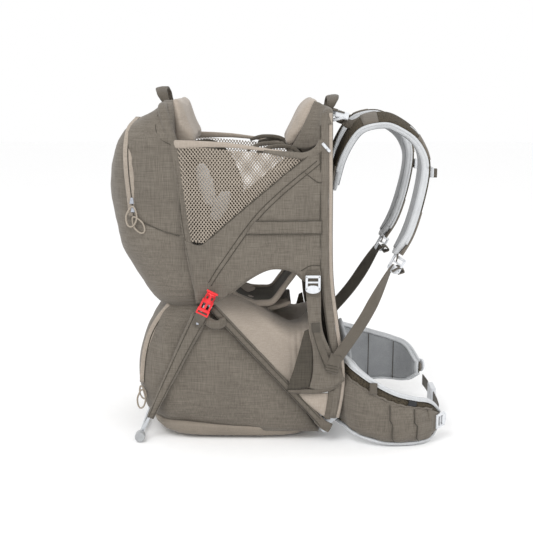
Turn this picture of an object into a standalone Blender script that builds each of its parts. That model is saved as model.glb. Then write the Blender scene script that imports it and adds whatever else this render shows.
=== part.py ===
"""Framed child carrier backpack.

Metres, +Z up, +X forward for the wearer, +Y to the wearer's left.
The origin lies on the underside of the lower bag, where the carrier stands.
"""
import math

import bmesh
import bpy
from mathutils import Matrix, Vector

# ---- driving dimensions -------------------------------------------------
FRAME_HALF_WIDTH = 0.150      # centre of the side tubes
FRAME_TOP = 0.645             # centre of the top bar
FRAME_BOTTOM = 0.049
FRAME_TUBE = 0.006            # tube radius
HOOP_TUBE = 0.006
KICK_WIRE = 0.0035
PIN_RADIUS = 0.0037
EYE_RADIUS = 0.009
FIT = 0.0003                  # clearance of a running fit or a touching face
AIR = 0.0015                  # clearance between parts that pass each other

BASE_PIVOT = Vector((0.162, 0.0, 0.030))
CROSSING = Vector((-0.071, 0.0, 0.287))
HOOP_RIM = Vector((-0.131, 0.0, 0.596))
HOOP_TOP = Vector((-0.153, 0.0, 0.660))
FOOT = Vector((-0.209, 0.0, 0.0105))
FOOT_RADIUS = 0.010

PANEL_THICKNESS = 0.010
FABRIC = 0.0025
BAG_REAR = -0.267
BAG_HALF_WIDTH = 0.136
BOOT_HALF_WIDTH = 0.126
SEAT_HEIGHT = 0.232            # middle of the seat
STRAP_WIDTH = 0.062
STRAP_THICKNESS = 0.014
STRAP_HALF_GAP = 0.090        # strap centre to the middle plane
WING_THICKNESS = 0.013
WING_HALF_SPREAD = 0.164
WEBBING_WIDTH = 0.025
WEBBING = 0.002
LOCK_SIZE = (0.032, 0.024, 0.005)
BUCKLE_LENGTH = 0.026
BUCKLE_WIDTH = 0.028
BUCKLE_THICKNESS = 0.010
GRIP_WIDTH = 0.024

SIDES = {"left": 1.0, "right": -1.0}
SMOOTH_ANGLE = math.radians(40)

for old in list(bpy.data.objects):
    bpy.data.objects.remove(old, do_unlink=True)

carrier = bpy.data.collections.new("child_carrier")
bpy.context.scene.collection.children.link(carrier)
cutters = bpy.data.collections.new("cutters")
bpy.context.scene.collection.children.link(cutters)


# ---- materials ----------------------------------------------------------
def make_material(name, colour, roughness, metallic=0.0):
    material = bpy.data.materials.new(name)
    material.use_nodes = True
    shader = material.node_tree.nodes["Principled BSDF"]
    shader.inputs["Base Color"].default_value = (*colour, 1.0)
    shader.inputs["Roughness"].default_value = roughness
    shader.inputs["Metallic"].default_value = metallic
    material.diffuse_color = (*colour, 1.0)
    return material


SHELL = make_material("shell_fabric", (0.22, 0.19, 0.15), 0.85)
LINING = make_material("lining_fabric", (0.42, 0.36, 0.30), 0.85)
MESH = make_material("window_mesh", (0.45, 0.40, 0.34), 0.8)
PADDING = make_material("pad_fabric", (0.25, 0.26, 0.26), 0.9)
WEB = make_material("webbing", (0.16, 0.14, 0.11), 0.8)
RED = make_material("lock_plastic", (0.70, 0.03, 0.03), 0.4)
GREY = make_material("buckle_plastic", (0.62, 0.64, 0.66), 0.4)
ALLOY = make_material("frame_alloy", (0.60, 0.61, 0.62), 0.35, 1.0)
STEEL = make_material("wire_steel", (0.55, 0.56, 0.57), 0.3, 1.0)
RUBBER = make_material("foot_rubber", (0.45, 0.46, 0.47), 0.7)
ZIP = make_material("zip_metal", (0.20, 0.17, 0.14), 0.5)


# ---- shape helpers ------------------------------------------------------
def add_object(name, data, material, collection=carrier):
    item = bpy.data.objects.new(name, data)
    collection.objects.link(item)
    if material is not None:
        data.materials.append(material)
    return item


def mesh_object(name, bm, material, collection=carrier):
    mesh = bpy.data.meshes.new(name)
    bm.to_mesh(mesh)
    bm.free()
    return add_object(name, mesh, material, collection)


def smooth_faces(item, angle=SMOOTH_ANGLE):
    item.data.shade_smooth()
    item.data.set_sharp_from_angle(angle=angle)
    return item


def smooth_path(points, steps=4):
    """Points along a smooth curve that passes through the given ones."""
    points = [Vector(p) for p in points]
    padded = [points[0] * 2 - points[1]] + points + [points[-1] * 2 - points[-2]]
    path = []
    for i in range(1, len(padded) - 2):
        a, b, c, d = padded[i - 1:i + 3]
        for step in range(steps):
            t = step / steps
            path.append(0.5 * (2 * b + (c - a) * t
                               + (2 * a - 5 * b + 4 * c - d) * t * t
                               + (3 * b - a - 3 * c + d) * t ** 3))
    path.append(points[-1])
    return path


def arc(centre, radius, start, end, steps, plane="yz", x=0.0):
    """Points on a round corner, angles in degrees."""
    points = []
    for i in range(steps + 1):
        angle = math.radians(start + (end - start) * i / steps)
        u = centre[0] + radius * math.cos(angle)
        v = centre[1] + radius * math.sin(angle)
        points.append(Vector((x, u, v)) if plane == "yz" else Vector((u, x, v)))
    return points


def tube(name, points, radius, material, closed=False, resolution=2):
    """Round tube along a path, as a welded closed mesh."""
    curve = bpy.data.curves.new(name, "CURVE")
    curve.dimensions = "3D"
    curve.bevel_depth = radius
    curve.bevel_resolution = resolution
    curve.use_fill_caps = not closed
    spline = curve.splines.new("POLY")
    spline.points.add(len(points) - 1)
    for point, place in zip(spline.points, points):
        point.co = (*place, 1.0)
    spline.use_cyclic_u = closed
    guide = bpy.data.objects.new(name + "_guide", curve)
    carrier.objects.link(guide)
    graph = bpy.context.evaluated_depsgraph_get()
    mesh = bpy.data.meshes.new_from_object(guide.evaluated_get(graph))
    bpy.data.objects.remove(guide, do_unlink=True)
    bm = bmesh.new()
    bm.from_mesh(mesh)
    bmesh.ops.remove_doubles(bm, verts=bm.verts, dist=0.00001)
    bmesh.ops.recalc_face_normals(bm, faces=bm.faces)
    return smooth_faces(mesh_object(name, bm, material))


def plate(name, outline, y, thickness, material, holes=(), bevel=0.0):
    """Flat plate: an outline in X and Z, from y outwards by its thickness."""
    curve = bpy.data.curves.new(name, "CURVE")
    curve.dimensions = "2D"
    curve.fill_mode = "BOTH"
    curve.extrude = thickness / 2
    for ring in (outline, *holes):
        spline = curve.splines.new("POLY")
        spline.points.add(len(ring) - 1)
        for point, place in zip(spline.points, ring):
            point.co = (place[0], place[1], 0.0, 1.0)
        spline.use_cyclic_u = True
    guide = bpy.data.objects.new(name + "_guide", curve)
    carrier.objects.link(guide)
    graph = bpy.context.evaluated_depsgraph_get()
    mesh = bpy.data.meshes.new_from_object(guide.evaluated_get(graph))
    bpy.data.objects.remove(guide, do_unlink=True)
    bm = bmesh.new()
    bm.from_mesh(mesh)
    bmesh.ops.remove_doubles(bm, verts=bm.verts, dist=0.00001)
    middle = y + math.copysign(thickness / 2, y)
    bmesh.ops.transform(bm, matrix=Matrix.Rotation(math.radians(90), 4, "X"), verts=bm.verts)
    bmesh.ops.translate(bm, vec=(0.0, middle, 0.0), verts=bm.verts)
    bmesh.ops.recalc_face_normals(bm, faces=bm.faces)
    item = mesh_object(name, bm, material)
    if bevel:
        add_bevel(item, bevel)
    return item


def add_bevel(item, width, segments=2):
    modifier = item.modifiers.new("edges", "BEVEL")
    modifier.width = width
    modifier.segments = segments
    modifier.limit_method = "ANGLE"
    return modifier


def box(name, size, centre, material, rotation=None, bevel=0.0, collection=carrier):
    bm = bmesh.new()
    bmesh.ops.create_cube(bm, size=1.0, matrix=Matrix.Diagonal((*size, 1.0)))
    item = mesh_object(name, bm, material, collection)
    item.location = centre
    if rotation is not None:
        item.rotation_euler = rotation
    if bevel:
        add_bevel(item, bevel)
    return item


def rod(name, radius, start, end, material, segments=16, collection=carrier):
    """Solid round bar between two points."""
    start = Vector(start)
    end = Vector(end)
    bm = bmesh.new()
    bmesh.ops.create_cone(bm, cap_ends=True, segments=segments, radius1=radius,
                          radius2=radius, depth=(end - start).length)
    turn = Vector((0, 0, 1)).rotation_difference(end - start).to_matrix().to_4x4()
    bmesh.ops.transform(bm, matrix=Matrix.Translation((start + end) / 2) @ turn, verts=bm.verts)
    return smooth_faces(mesh_object(name, bm, material, collection))


def boolean(item, other, operation):
    """Join or cut item with other, keeping the result as its mesh."""
    modifier = item.modifiers.new(operation.lower(), "BOOLEAN")
    modifier.operation = operation
    modifier.object = other
    graph = bpy.context.evaluated_depsgraph_get()
    graph.update()
    mesh = bpy.data.meshes.new_from_object(item.evaluated_get(graph))
    item.modifiers.clear()
    item.data = mesh
    bpy.data.objects.remove(other, do_unlink=True)
    return item


def cut_rod(item, radius, start, end, segments=16):
    cutter = rod(item.name + "_drill", radius, start, end, None, segments, cutters)
    cutter.hide_render = True
    cutter.display_type = "WIRE"
    return boolean(item, cutter, "DIFFERENCE")


def sheet(name, rows, thickness, material, bevel=0.0):
    """Solid strip or pad over rows of points, thickened about that surface."""
    count_across = len(rows[0]) - 1
    count_along = len(rows) - 1
    bm = bmesh.new()
    bmesh.ops.create_grid(bm, x_segments=count_across, y_segments=count_along, size=1.0)
    across = count_across + 1
    ordered = sorted(bm.verts, key=lambda v: (round(v.co.y, 5), round(v.co.x, 5)))
    for index, vert in enumerate(ordered):
        vert.co = rows[index // across][index % across]
    bmesh.ops.recalc_face_normals(bm, faces=bm.faces)
    item = mesh_object(name, bm, material)
    modifier = item.modifiers.new("thickness", "SOLIDIFY")
    modifier.thickness = thickness
    modifier.offset = 0.0
    modifier.use_even_offset = True
    if bevel:
        add_bevel(item, bevel)
    return item


def ribbon(name, centres, across, width, thickness, material, bevel=0.0):
    """Strip of one width along a path, laid flat along the across direction."""
    half = Vector(across).normalized() * width / 2
    rows = [[point - half, point + half] for point in centres]
    return sheet(name, rows, thickness, material, bevel)


def loft(name, rings, material):
    """Closed body through rings that all have the same number of points."""
    bm = bmesh.new()
    loops = []
    for ring in rings:
        verts = [bm.verts.new(point) for point in ring]
        loops.append(verts)
    count = len(loops[0])
    for lower, upper in zip(loops, loops[1:]):
        for i in range(count):
            j = (i + 1) % count
            bm.faces.new((lower[i], lower[j], upper[j], upper[i]))
    bm.faces.new(list(reversed(loops[0])))
    bm.faces.new(loops[-1])
    bmesh.ops.recalc_face_normals(bm, faces=bm.faces)
    return smooth_faces(mesh_object(name, bm, material))


def mirrored(points, side):
    return [Vector((p[0], p[1] * side, p[2])) for p in points]


def ease(value, table):
    """Height to reach, read off a short list of (height, reach) pairs."""
    if value <= table[0][0]:
        return table[0][1]
    for (z0, x0), (z1, x1) in zip(table, table[1:]):
        if value <= z1:
            t = (value - z0) / (z1 - z0)
            t = t * t * (3 - 2 * t)
            return x0 + (x1 - x0) * t
    return table[-1][1]


# ---- back frame ---------------------------------------------------------
FRAME_LINE = (
    (FRAME_BOTTOM, BASE_PIVOT.x + 0.022),
    (BASE_PIVOT.z + 0.120, BASE_PIVOT.x + 0.030),
    (BASE_PIVOT.z + 0.300, BASE_PIVOT.x + 0.004),
    (FRAME_TOP, BASE_PIVOT.x - 0.001),
)
TOP_CORNER = 0.060
BOTTOM_CORNER = 0.016
FRAME_STEPS = 14


def frame_x(z):
    return ease(z, FRAME_LINE)


def frame_loop():
    """Side tubes, top bar and bottom bar of the frame as one closed line."""
    half = FRAME_HALF_WIDTH
    low = FRAME_BOTTOM + BOTTOM_CORNER
    high = FRAME_TOP - TOP_CORNER
    points = arc((half - BOTTOM_CORNER, low), BOTTOM_CORNER, -90, 0, 3)
    for i in range(1, FRAME_STEPS):
        points.append(Vector((0.0, half, low + (high - low) * i / FRAME_STEPS)))
    points += arc((half - TOP_CORNER, high), TOP_CORNER, 0, 90, 5)
    for point in points:
        point.x = frame_x(point.z)
    return points + [Vector((p.x, -p.y, p.z)) for p in reversed(points)]


tube("back_frame_tube", frame_loop(), FRAME_TUBE, ALLOY, closed=True)

BRACKET_IN = 0.112
BRACKET_OUT = 0.126
BAR_CENTRE = Vector((frame_x(FRAME_BOTTOM), 0.0, FRAME_BOTTOM))


def capsule(first, second, radius, steps=7):
    """Outline around two circles of one radius, as (x, z) pairs."""
    angle = math.degrees(math.atan2(second.z - first.z, second.x - first.x))
    ring = arc((second.x, second.z), radius, angle - 90, angle + 90, steps, "xz")
    ring += arc((first.x, first.z), radius, angle + 90, angle + 270, steps, "xz")
    return [(p.x, p.z) for p in ring]


def circle(centre, radius, count=16):
    return [(centre.x + radius * math.cos(math.tau * i / count),
             centre.z + radius * math.sin(math.tau * i / count)) for i in range(count)]


def base_bracket(label, side):
    """Clamp on the bottom bar that carries the hoop's pin."""
    holes = (circle(BASE_PIVOT, PIN_RADIUS + FIT), circle(BAR_CENTRE, FRAME_TUBE + FIT))
    outline = capsule(BASE_PIVOT, BAR_CENTRE, FRAME_TUBE + 0.004)
    thickness = BRACKET_OUT - BRACKET_IN
    plate("base_bracket_" + label, outline, side * BRACKET_IN, thickness, GREY, holes)


def base_pin(label, side):
    """Shouldered pin through the hoop's eye and the bracket."""
    inner = side * (BRACKET_IN - 0.0023)
    outer = side * (FRAME_HALF_WIDTH + HOOP_TUBE + FIT)
    centre = Vector((BASE_PIVOT.x, 0.0, BASE_PIVOT.z))
    pin = rod("base_pin_" + label, PIN_RADIUS, centre + Vector((0, inner, 0)),
              centre + Vector((0, outer + side * 0.001, 0)), STEEL)
    for start, reach in ((inner, side * 0.002), (outer, side * 0.0015)):
        head = rod("head", EYE_RADIUS - 0.002, centre + Vector((0, start, 0)),
                   centre + Vector((0, start + reach, 0)), STEEL)
        boolean(pin, head, "UNION")


# ---- rear hoop ----------------------------------------------------------
HOOP_CORNER = 0.055
EYE_HALF = 0.005
SPIGOT_RADIUS = 0.003
KICK_CENTRE = FRAME_HALF_WIDTH - HOOP_TUBE - FIT * 2 - 0.0055
SPIGOT_END = KICK_CENTRE - 0.0075


def hoop_side():
    """One leg of the hoop, from the base pivot to the start of the top corner."""
    diagonal = (CROSSING - BASE_PIVOT).normalized()
    start = BASE_PIVOT + diagonal * (EYE_RADIUS - 0.003)
    before = CROSSING - diagonal * 0.040
    above = CROSSING + Vector((-0.026, 0.0, 0.050))
    points = [start, BASE_PIVOT.lerp(CROSSING, 0.5), before]
    points += smooth_path([before, CROSSING + Vector((-0.006, 0.0, 0.004)), above], 3)[1:]
    points += smooth_path([above, CROSSING.lerp(HOOP_RIM, 0.45) + Vector((-0.012, 0, 0)),
                           HOOP_RIM], 3)[1:]
    return points


def hoop_loop():
    points = [Vector((p.x, FRAME_HALF_WIDTH, p.z)) for p in hoop_side()]
    turn = arc((FRAME_HALF_WIDTH - HOOP_CORNER, HOOP_TOP.z - HOOP_CORNER), HOOP_CORNER, 0, 90, 6)
    for point in turn:
        rise = (point.z - HOOP_RIM.z) / (HOOP_TOP.z - HOOP_RIM.z)
        point.x = HOOP_RIM.x + (HOOP_TOP.x - HOOP_RIM.x) * rise
    points += turn
    return points + [Vector((p.x, -p.y, p.z)) for p in reversed(points)]


hoop = tube("rear_hoop_tube", hoop_loop(), HOOP_TUBE, ALLOY)
for hand, sign in SIDES.items():
    eye_at = Vector((BASE_PIVOT.x, sign * FRAME_HALF_WIDTH, BASE_PIVOT.z))
    reach = Vector((0.0, EYE_HALF, 0.0))
    eye = rod("eye", EYE_RADIUS, eye_at - reach, eye_at + reach, ALLOY, 20)
    boolean(hoop, eye, "UNION")
    cut_rod(hoop, PIN_RADIUS + FIT, eye_at - reach * 2, eye_at + reach * 2)
    inner = Vector((CROSSING.x, sign * SPIGOT_END, CROSSING.z))
    outer = Vector((CROSSING.x, sign * FRAME_HALF_WIDTH, CROSSING.z))
    boolean(hoop, rod("spigot", SPIGOT_RADIUS, inner, outer, ALLOY), "UNION")
    base_bracket(hand, sign)
    base_pin(hand, sign)


# ---- kickstand ----------------------------------------------------------
KICK_EYE = 0.007
LEG_SOCKET = 0.006


def kick_leg(label, side):
    """Wire leg with an eye that turns on the hoop's spigot."""
    top = Vector((CROSSING.x, side * KICK_CENTRE, CROSSING.z))
    foot = Vector((FOOT.x, side * KICK_CENTRE, FOOT.z))
    along = (foot - top).normalized()
    end = foot - along * (FOOT_RADIUS - LEG_SOCKET + FIT)
    leg = rod("kick_leg_" + label, KICK_WIRE, top + along * 0.005, end, STEEL, 12)
    reach = Vector((0.0, 0.004, 0.0))
    boolean(leg, rod("eye", KICK_EYE, top - reach, top + reach, STEEL, 20), "UNION")
    cut_rod(leg, SPIGOT_RADIUS + FIT, top - reach * 2, top + reach * 2)


for hand, sign in SIDES.items():
    kick_leg(hand, sign)

foot_end = Vector((0.0, FRAME_HALF_WIDTH, 0.0))
foot_bar = rod("foot_bar", FOOT_RADIUS, FOOT - foot_end, FOOT + foot_end, RUBBER, 20)
for hand, sign in SIDES.items():
    top = Vector((CROSSING.x, sign * KICK_CENTRE, CROSSING.z))
    foot = Vector((FOOT.x, sign * KICK_CENTRE, FOOT.z))
    along = (foot - top).normalized()
    cut_rod(foot_bar, KICK_WIRE + FIT, foot - along * 0.02,
            foot - along * (FOOT_RADIUS - LEG_SOCKET), 12)


# ---- back panel and pads ------------------------------------------------
PANEL_HALF = FRAME_HALF_WIDTH - FRAME_TUBE - AIR * 2
PANEL_LOW = FRAME_BOTTOM + FRAME_TUBE + 0.014
PANEL_HIGH = FRAME_TOP - TOP_CORNER - 0.004


def upright_pad(name, low, high, half, offset, thickness, material, bevel, steps=8):
    """Pad that follows the frame's line between two heights."""
    rows = []
    for i in range(steps + 1):
        z = low + (high - low) * i / steps
        x = frame_x(z) + offset
        rows.append([Vector((x, -half, z)), Vector((x, half, z))])
    return sheet(name, rows, thickness, material, bevel)


upright_pad("back_panel", PANEL_LOW, PANEL_HIGH, PANEL_HALF, 0.002, PANEL_THICKNESS,
            LINING, 0.002, 10)
LUMBAR_THICKNESS = 0.012
LUMBAR_OFFSET = 0.002 + (PANEL_THICKNESS + LUMBAR_THICKNESS) / 2 + AIR
LUMBAR_LOW = PANEL_LOW + 0.012
LUMBAR_HIGH = BASE_PIVOT.z + 0.190
upright_pad("lumbar_pad", LUMBAR_LOW, LUMBAR_HIGH, 0.098, LUMBAR_OFFSET,
            LUMBAR_THICKNESS, PADDING, 0.003)


def prism(name, outline, half, material, bevel):
    """Soft pad with one outline in X and Z, across the width."""
    bm = bmesh.new()
    verts = [bm.verts.new((x, -half, z)) for x, z in outline]
    face = bm.faces.new(verts)
    moved = bmesh.ops.extrude_face_region(bm, geom=[face])
    lifted = [v for v in moved["geom"] if isinstance(v, bmesh.types.BMVert)]
    bmesh.ops.translate(bm, vec=(0.0, half * 2, 0.0), verts=lifted)
    bmesh.ops.recalc_face_normals(bm, faces=bm.faces)
    item = mesh_object(name, bm, material)
    if bevel:
        add_bevel(item, bevel, 2)
    return item


def offsets(anchor, pairs):
    return [(anchor.x + dx, anchor.z + dz) for dx, dz in pairs]


FRAME_HEAD = Vector((frame_x(FRAME_TOP), 0.0, FRAME_TOP))
FACE_PAD_HALF = 0.088
prism("front_face_pad", offsets(FRAME_HEAD, (
    (-0.070, -0.055), (-0.055, -0.018), (-0.042, 0.020), (-0.026, 0.036),
    (-0.012, 0.032), (-0.010, 0.000), (-0.012, -0.058))), FACE_PAD_HALF, LINING, 0.006)
HEAD_PAD_HALF = 0.100
prism("rear_head_pad", offsets(HOOP_RIM, (
    (-0.006, 0.084), (0.011, 0.090), (0.030, 0.062), (0.036, 0.012),
    (0.018, -0.008), (0.002, 0.004))), HEAD_PAD_HALF, LINING, 0.007)

SEAT_HALF = 0.100
SEAT_REACH = 0.130
SEAT_THICKNESS = 0.012
seat_rows = []
for step in range(7):
    along = step / 6
    x = frame_x(0.30) - 0.032 - SEAT_REACH * along
    z = SEAT_HEIGHT + 0.016 * (2 * along - 1) ** 2
    seat_rows.append([Vector((x, -SEAT_HALF, z)), Vector((x, SEAT_HALF, z))])
sheet("seat_pad", seat_rows, SEAT_THICKNESS, LINING, 0.003)

HARNESS_LOW = 0.385
HARNESS_HIGH = 0.560
upright_pad("child_harness", HARNESS_LOW, HARNESS_HIGH, 0.060, -0.020, 0.012, PADDING, 0.003, 5)


# ---- cockpit sides ------------------------------------------------------
SIDE_IN = FRAME_HALF_WIDTH + FRAME_TUBE + AIR
RIM_FRONT = Vector((frame_x(FRAME_TOP) - 0.009, 0.0, FRAME_TOP - 0.062))
SIDE_FRONT = frame_x(FRAME_TOP) - 0.010
MESH_TOP_FRONT = Vector((RIM_FRONT.x - 0.050, 0.0, RIM_FRONT.z - 0.022))
MESH_TOP_REAR = Vector((HOOP_RIM.x + 0.009, 0.0, HOOP_RIM.z - 0.016))
MESH_LOW_FRONT = Vector((CROSSING.x - 0.002, 0.0, CROSSING.z + 0.121))
MESH_LOW_REAR = Vector((CROSSING.x - 0.038, 0.0, CROSSING.z + 0.127))
SEAM = 0.0012
LEG_HOLE = (
    (CROSSING.x + 0.022, CROSSING.z + 0.003), (CROSSING.x + 0.043, CROSSING.z + 0.018),
    (CROSSING.x + 0.082, CROSSING.z + 0.048), (CROSSING.x + 0.121, CROSSING.z + 0.068),
    (BASE_PIVOT.x - 0.064, CROSSING.z + 0.064), (BASE_PIVOT.x - 0.040, CROSSING.z + 0.044),
)


def cockpit_side(label, side):
    window = [(MESH_TOP_REAR.x, MESH_TOP_REAR.z), (MESH_LOW_REAR.x, MESH_LOW_REAR.z),
              (MESH_LOW_FRONT.x, MESH_LOW_FRONT.z), (MESH_TOP_FRONT.x, MESH_TOP_FRONT.z)]
    plate("side_mesh_" + label, window, side * SIDE_IN, FABRIC, MESH)
    fabric = [
        (SIDE_FRONT, RIM_FRONT.z - 0.008),
        (MESH_TOP_FRONT.x + SEAM * 3, MESH_TOP_FRONT.z + SEAM),
        (MESH_LOW_FRONT.x + SEAM * 2, MESH_LOW_FRONT.z - SEAM * 3),
        (MESH_LOW_REAR.x, MESH_LOW_REAR.z - SEAM * 3),
        (CROSSING.x - 0.008, CROSSING.z + 0.006),
        *LEG_HOLE,
        (SIDE_FRONT, CROSSING.z + 0.044),
    ]
    plate("side_fabric_" + label, fabric, side * SIDE_IN, FABRIC, SHELL)
    gusset = [
        (CROSSING.x + 0.030, CROSSING.z - 0.004), (CROSSING.x + 0.090, CROSSING.z - 0.012),
        (BASE_PIVOT.x - 0.045, CROSSING.z - 0.030), (BASE_PIVOT.x - 0.014, CROSSING.z - 0.042),
        (BASE_PIVOT.x - 0.014, BASE_PIVOT.z + 0.030),
    ]
    plate("lower_gusset_" + label, gusset, side * (KICK_CENTRE - 0.001), FABRIC, LINING)


for hand, sign in SIDES.items():
    cockpit_side(hand, sign)


# ---- bags ---------------------------------------------------------------
RING_POINTS = 20
SQUARENESS = 0.62


def bag_ring(z, front, rear, half):
    """Rounded section of a bag at one height."""
    middle = (front + rear) / 2
    reach = (front - rear) / 2
    ring = []
    for i in range(RING_POINTS):
        angle = math.tau * i / RING_POINTS
        c = math.cos(angle)
        s = math.sin(angle)
        x = middle + reach * math.copysign(abs(c) ** SQUARENESS, c)
        y = half * math.copysign(abs(s) ** SQUARENESS, s)
        ring.append(Vector((x, y, z)))
    return ring


def hoop_x(z):
    line = ((CROSSING.z, CROSSING.x - 0.008), (CROSSING.lerp(HOOP_RIM, 0.45).z, -0.110),
            (HOOP_RIM.z, HOOP_RIM.x), (HOOP_TOP.z, HOOP_TOP.x))
    return ease(z, line)


BAG_LINE = (
    # height above the crossing, how far behind the foremost wall, share of width
    (-0.004, BAG_REAR + 0.125, 0.78),
    (0.010, BAG_REAR + 0.075, 0.88),
    (0.050, BAG_REAR + 0.040, 0.95),
    (0.110, BAG_REAR + 0.014, 0.99),
    (0.170, BAG_REAR + 0.003, 1.00),
    (0.235, BAG_REAR, 1.00),
    (0.290, BAG_REAR + 0.010, 0.98),
    (0.325, BAG_REAR + 0.030, 0.92),
    (0.350, BAG_REAR + 0.062, 0.84),
    (0.362, BAG_REAR + 0.092, 0.72),
)
loft("rear_bag", [
    bag_ring(CROSSING.z + rise, hoop_x(CROSSING.z + rise) - 0.004, rear, BAG_HALF_WIDTH * share)
    for rise, rear, share in BAG_LINE], SHELL)

BOOT_LINE = (
    # height, rear edge, front edge, share of width
    (0.0, FOOT.x + 0.040, 0.105, 0.86),
    (0.006, FOOT.x + 0.024, 0.122, 0.93),
    (0.030, FOOT.x + 0.014, 0.134, 0.97),
    (0.060, FOOT.x + 0.004, 0.136, 1.00),
    (0.125, FOOT.x - 0.008, 0.138, 1.00),
    (0.185, FOOT.x - 0.004, 0.138, 1.00),
    (0.205, FOOT.x + 0.005, 0.100, 1.00),
    (0.222, FOOT.x + 0.016, 0.030, 0.99),
    (0.245, FOOT.x + 0.032, -0.020, 0.97),
    (0.265, FOOT.x + 0.050, -0.045, 0.94),
    (0.276, FOOT.x + 0.066, -0.070, 0.90),
)
loft("boot_bag", [bag_ring(z, front, rear, BOOT_HALF_WIDTH * share)
                  for z, rear, front, share in BOOT_LINE], SHELL)

ZIP_WIDTH = 0.009
ZIP_THICKNESS = 0.0012
SLIDER_SIZE = (0.007, 0.005, 0.011)
UPPER_ZIP_Y = -BAG_HALF_WIDTH - AIR
UPPER_ZIP = (Vector((BAG_REAR + 0.056, UPPER_ZIP_Y, CROSSING.z + 0.177)),
             Vector((BAG_REAR + 0.051, UPPER_ZIP_Y, CROSSING.z + 0.330)))
LOWER_ZIP_Y = -BOOT_HALF_WIDTH - AIR
LOWER_ZIP = (Vector((FOOT.x + 0.006, LOWER_ZIP_Y, 0.105)),
             Vector((FOOT.x + 0.056, LOWER_ZIP_Y, 0.262)))


def zip_track(name, line):
    ribbon(name, [line[0].lerp(line[1], i / 4) for i in range(5)], (1, 0, 0), ZIP_WIDTH,
           ZIP_THICKNESS, LINING)


def zip_slider(name, line, at):
    """Slider that runs along its track, just clear of it."""
    direction = (line[1] - line[0]).normalized()
    lean = math.atan2(direction.x, direction.z)
    place = line[0] + direction * at
    place.y -= (ZIP_THICKNESS + SLIDER_SIZE[1]) / 2 + FIT
    box(name, SLIDER_SIZE, place, ZIP, (0.0, lean, 0.0), 0.001)


zip_track("upper_zip_track", UPPER_ZIP)
zip_slider("upper_zip_slider_low", UPPER_ZIP, 0.006)
zip_slider("upper_zip_slider_high", UPPER_ZIP, 0.022)
zip_track("lower_zip_track", LOWER_ZIP)
zip_slider("lower_zip_slider", LOWER_ZIP, 0.010)


# ---- locks and buckles --------------------------------------------------
def ladder_lock(name, place, rotation):
    """Flat three-bar lock that a webbing runs through."""
    width, height, thickness = LOCK_SIZE
    item = box(name, (thickness, width, height), place, GREY, rotation, 0.0)
    for z in (-0.0052, 0.0052):
        slot = box(name + "_slot", (thickness * 3, width - 0.007, 0.0052), (0, 0, 0), None,
                   collection=cutters)
        slot.matrix_world = item_matrix(place, rotation) @ Matrix.Translation((0, 0, z))
        slot.hide_render = True
        slot.display_type = "WIRE"
        boolean(item, slot, "DIFFERENCE")
    add_bevel(item, 0.0006, 1)
    return item


def item_matrix(place, rotation):
    turn = Matrix.Rotation(rotation[2], 4, "Z") @ Matrix.Rotation(rotation[1], 4, "Y")
    turn = turn @ Matrix.Rotation(rotation[0], 4, "X")
    return Matrix.Translation(place) @ turn


def put(item, matrix):
    item.data.transform(matrix)
    return item


def side_release(prefix, label, matrix, length, width, thickness, material):
    """Socket and plug of a buckle; the plug leaves along local -Z."""
    tail = "_" + label if label else ""
    socket = box(prefix + "_socket" + tail, (width, thickness, length),
                 (0, 0, length / 2), material)
    mouth = box("mouth", (width - 0.006, thickness - 0.005, length),
                (0, 0, length / 2 - 0.006), None, collection=cutters)
    mouth.hide_render = True
    mouth.display_type = "WIRE"
    bpy.context.view_layer.update()
    boolean(socket, mouth, "DIFFERENCE")
    socket.data.transform(Matrix.Translation((0, 0, length / 2)))
    socket.location = (0, 0, 0)
    put(socket, matrix)
    add_bevel(socket, 0.0008, 1)
    base = 0.010
    plug = box(prefix + "_plug" + tail, (width, thickness, base),
               (0, 0, -base / 2 - FIT), material)
    tongue = box("tongue", (width - 0.008, thickness - 0.007, length - 0.012), (0, 0, 0), None)
    tongue.location = (0, 0, (length - 0.012) / 2 - 0.002)
    bpy.context.view_layer.update()
    boolean(plug, tongue, "UNION")
    plug.data.transform(Matrix.Translation((0, 0, -base / 2 - FIT)))
    plug.location = (0, 0, 0)
    put(plug, matrix)
    add_bevel(plug, 0.0008, 1)


kick_lean = math.atan2(CROSSING.x - FOOT.x, CROSSING.z - FOOT.z)
LOCK_DEPTH = SIDE_IN + FABRIC + AIR + BUCKLE_THICKNESS / 2
for hand, sign in SIDES.items():
    spot = Vector((CROSSING.x - 0.002, sign * LOCK_DEPTH, CROSSING.z + 0.002))
    side_release("frame_lock", hand, item_matrix(spot, (0.0, kick_lean, 0.0)),
                 BUCKLE_LENGTH, BUCKLE_WIDTH, BUCKLE_THICKNESS, RED)


# ---- side stirrup straps ------------------------------------------------
STIRRUP_Y = SIDE_IN + FABRIC + AIR
STIRRUP_LOCK = Vector((BASE_PIVOT.x - 0.028, 0.0, CROSSING.z + 0.037))
for hand, sign in SIDES.items():
    place = Vector((STIRRUP_LOCK.x, sign * (STIRRUP_Y + 0.003), STIRRUP_LOCK.z))
    ladder_lock("stirrup_lock_" + hand, place, (0.0, 0.0, math.radians(90)))
    low = Vector((BASE_PIVOT.x - 0.052, 0.0, 0.095))
    path = smooth_path([STIRRUP_LOCK - Vector((0, 0, 0.016)),
                        STIRRUP_LOCK.lerp(low, 0.5) + Vector((0.010, 0, 0)), low], 3)
    path = [Vector((p.x, sign * STIRRUP_Y, p.z)) for p in path]
    ribbon("stirrup_strap_" + hand, path, (1, 0, 0), WEBBING_WIDTH, WEBBING, WEB)


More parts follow.
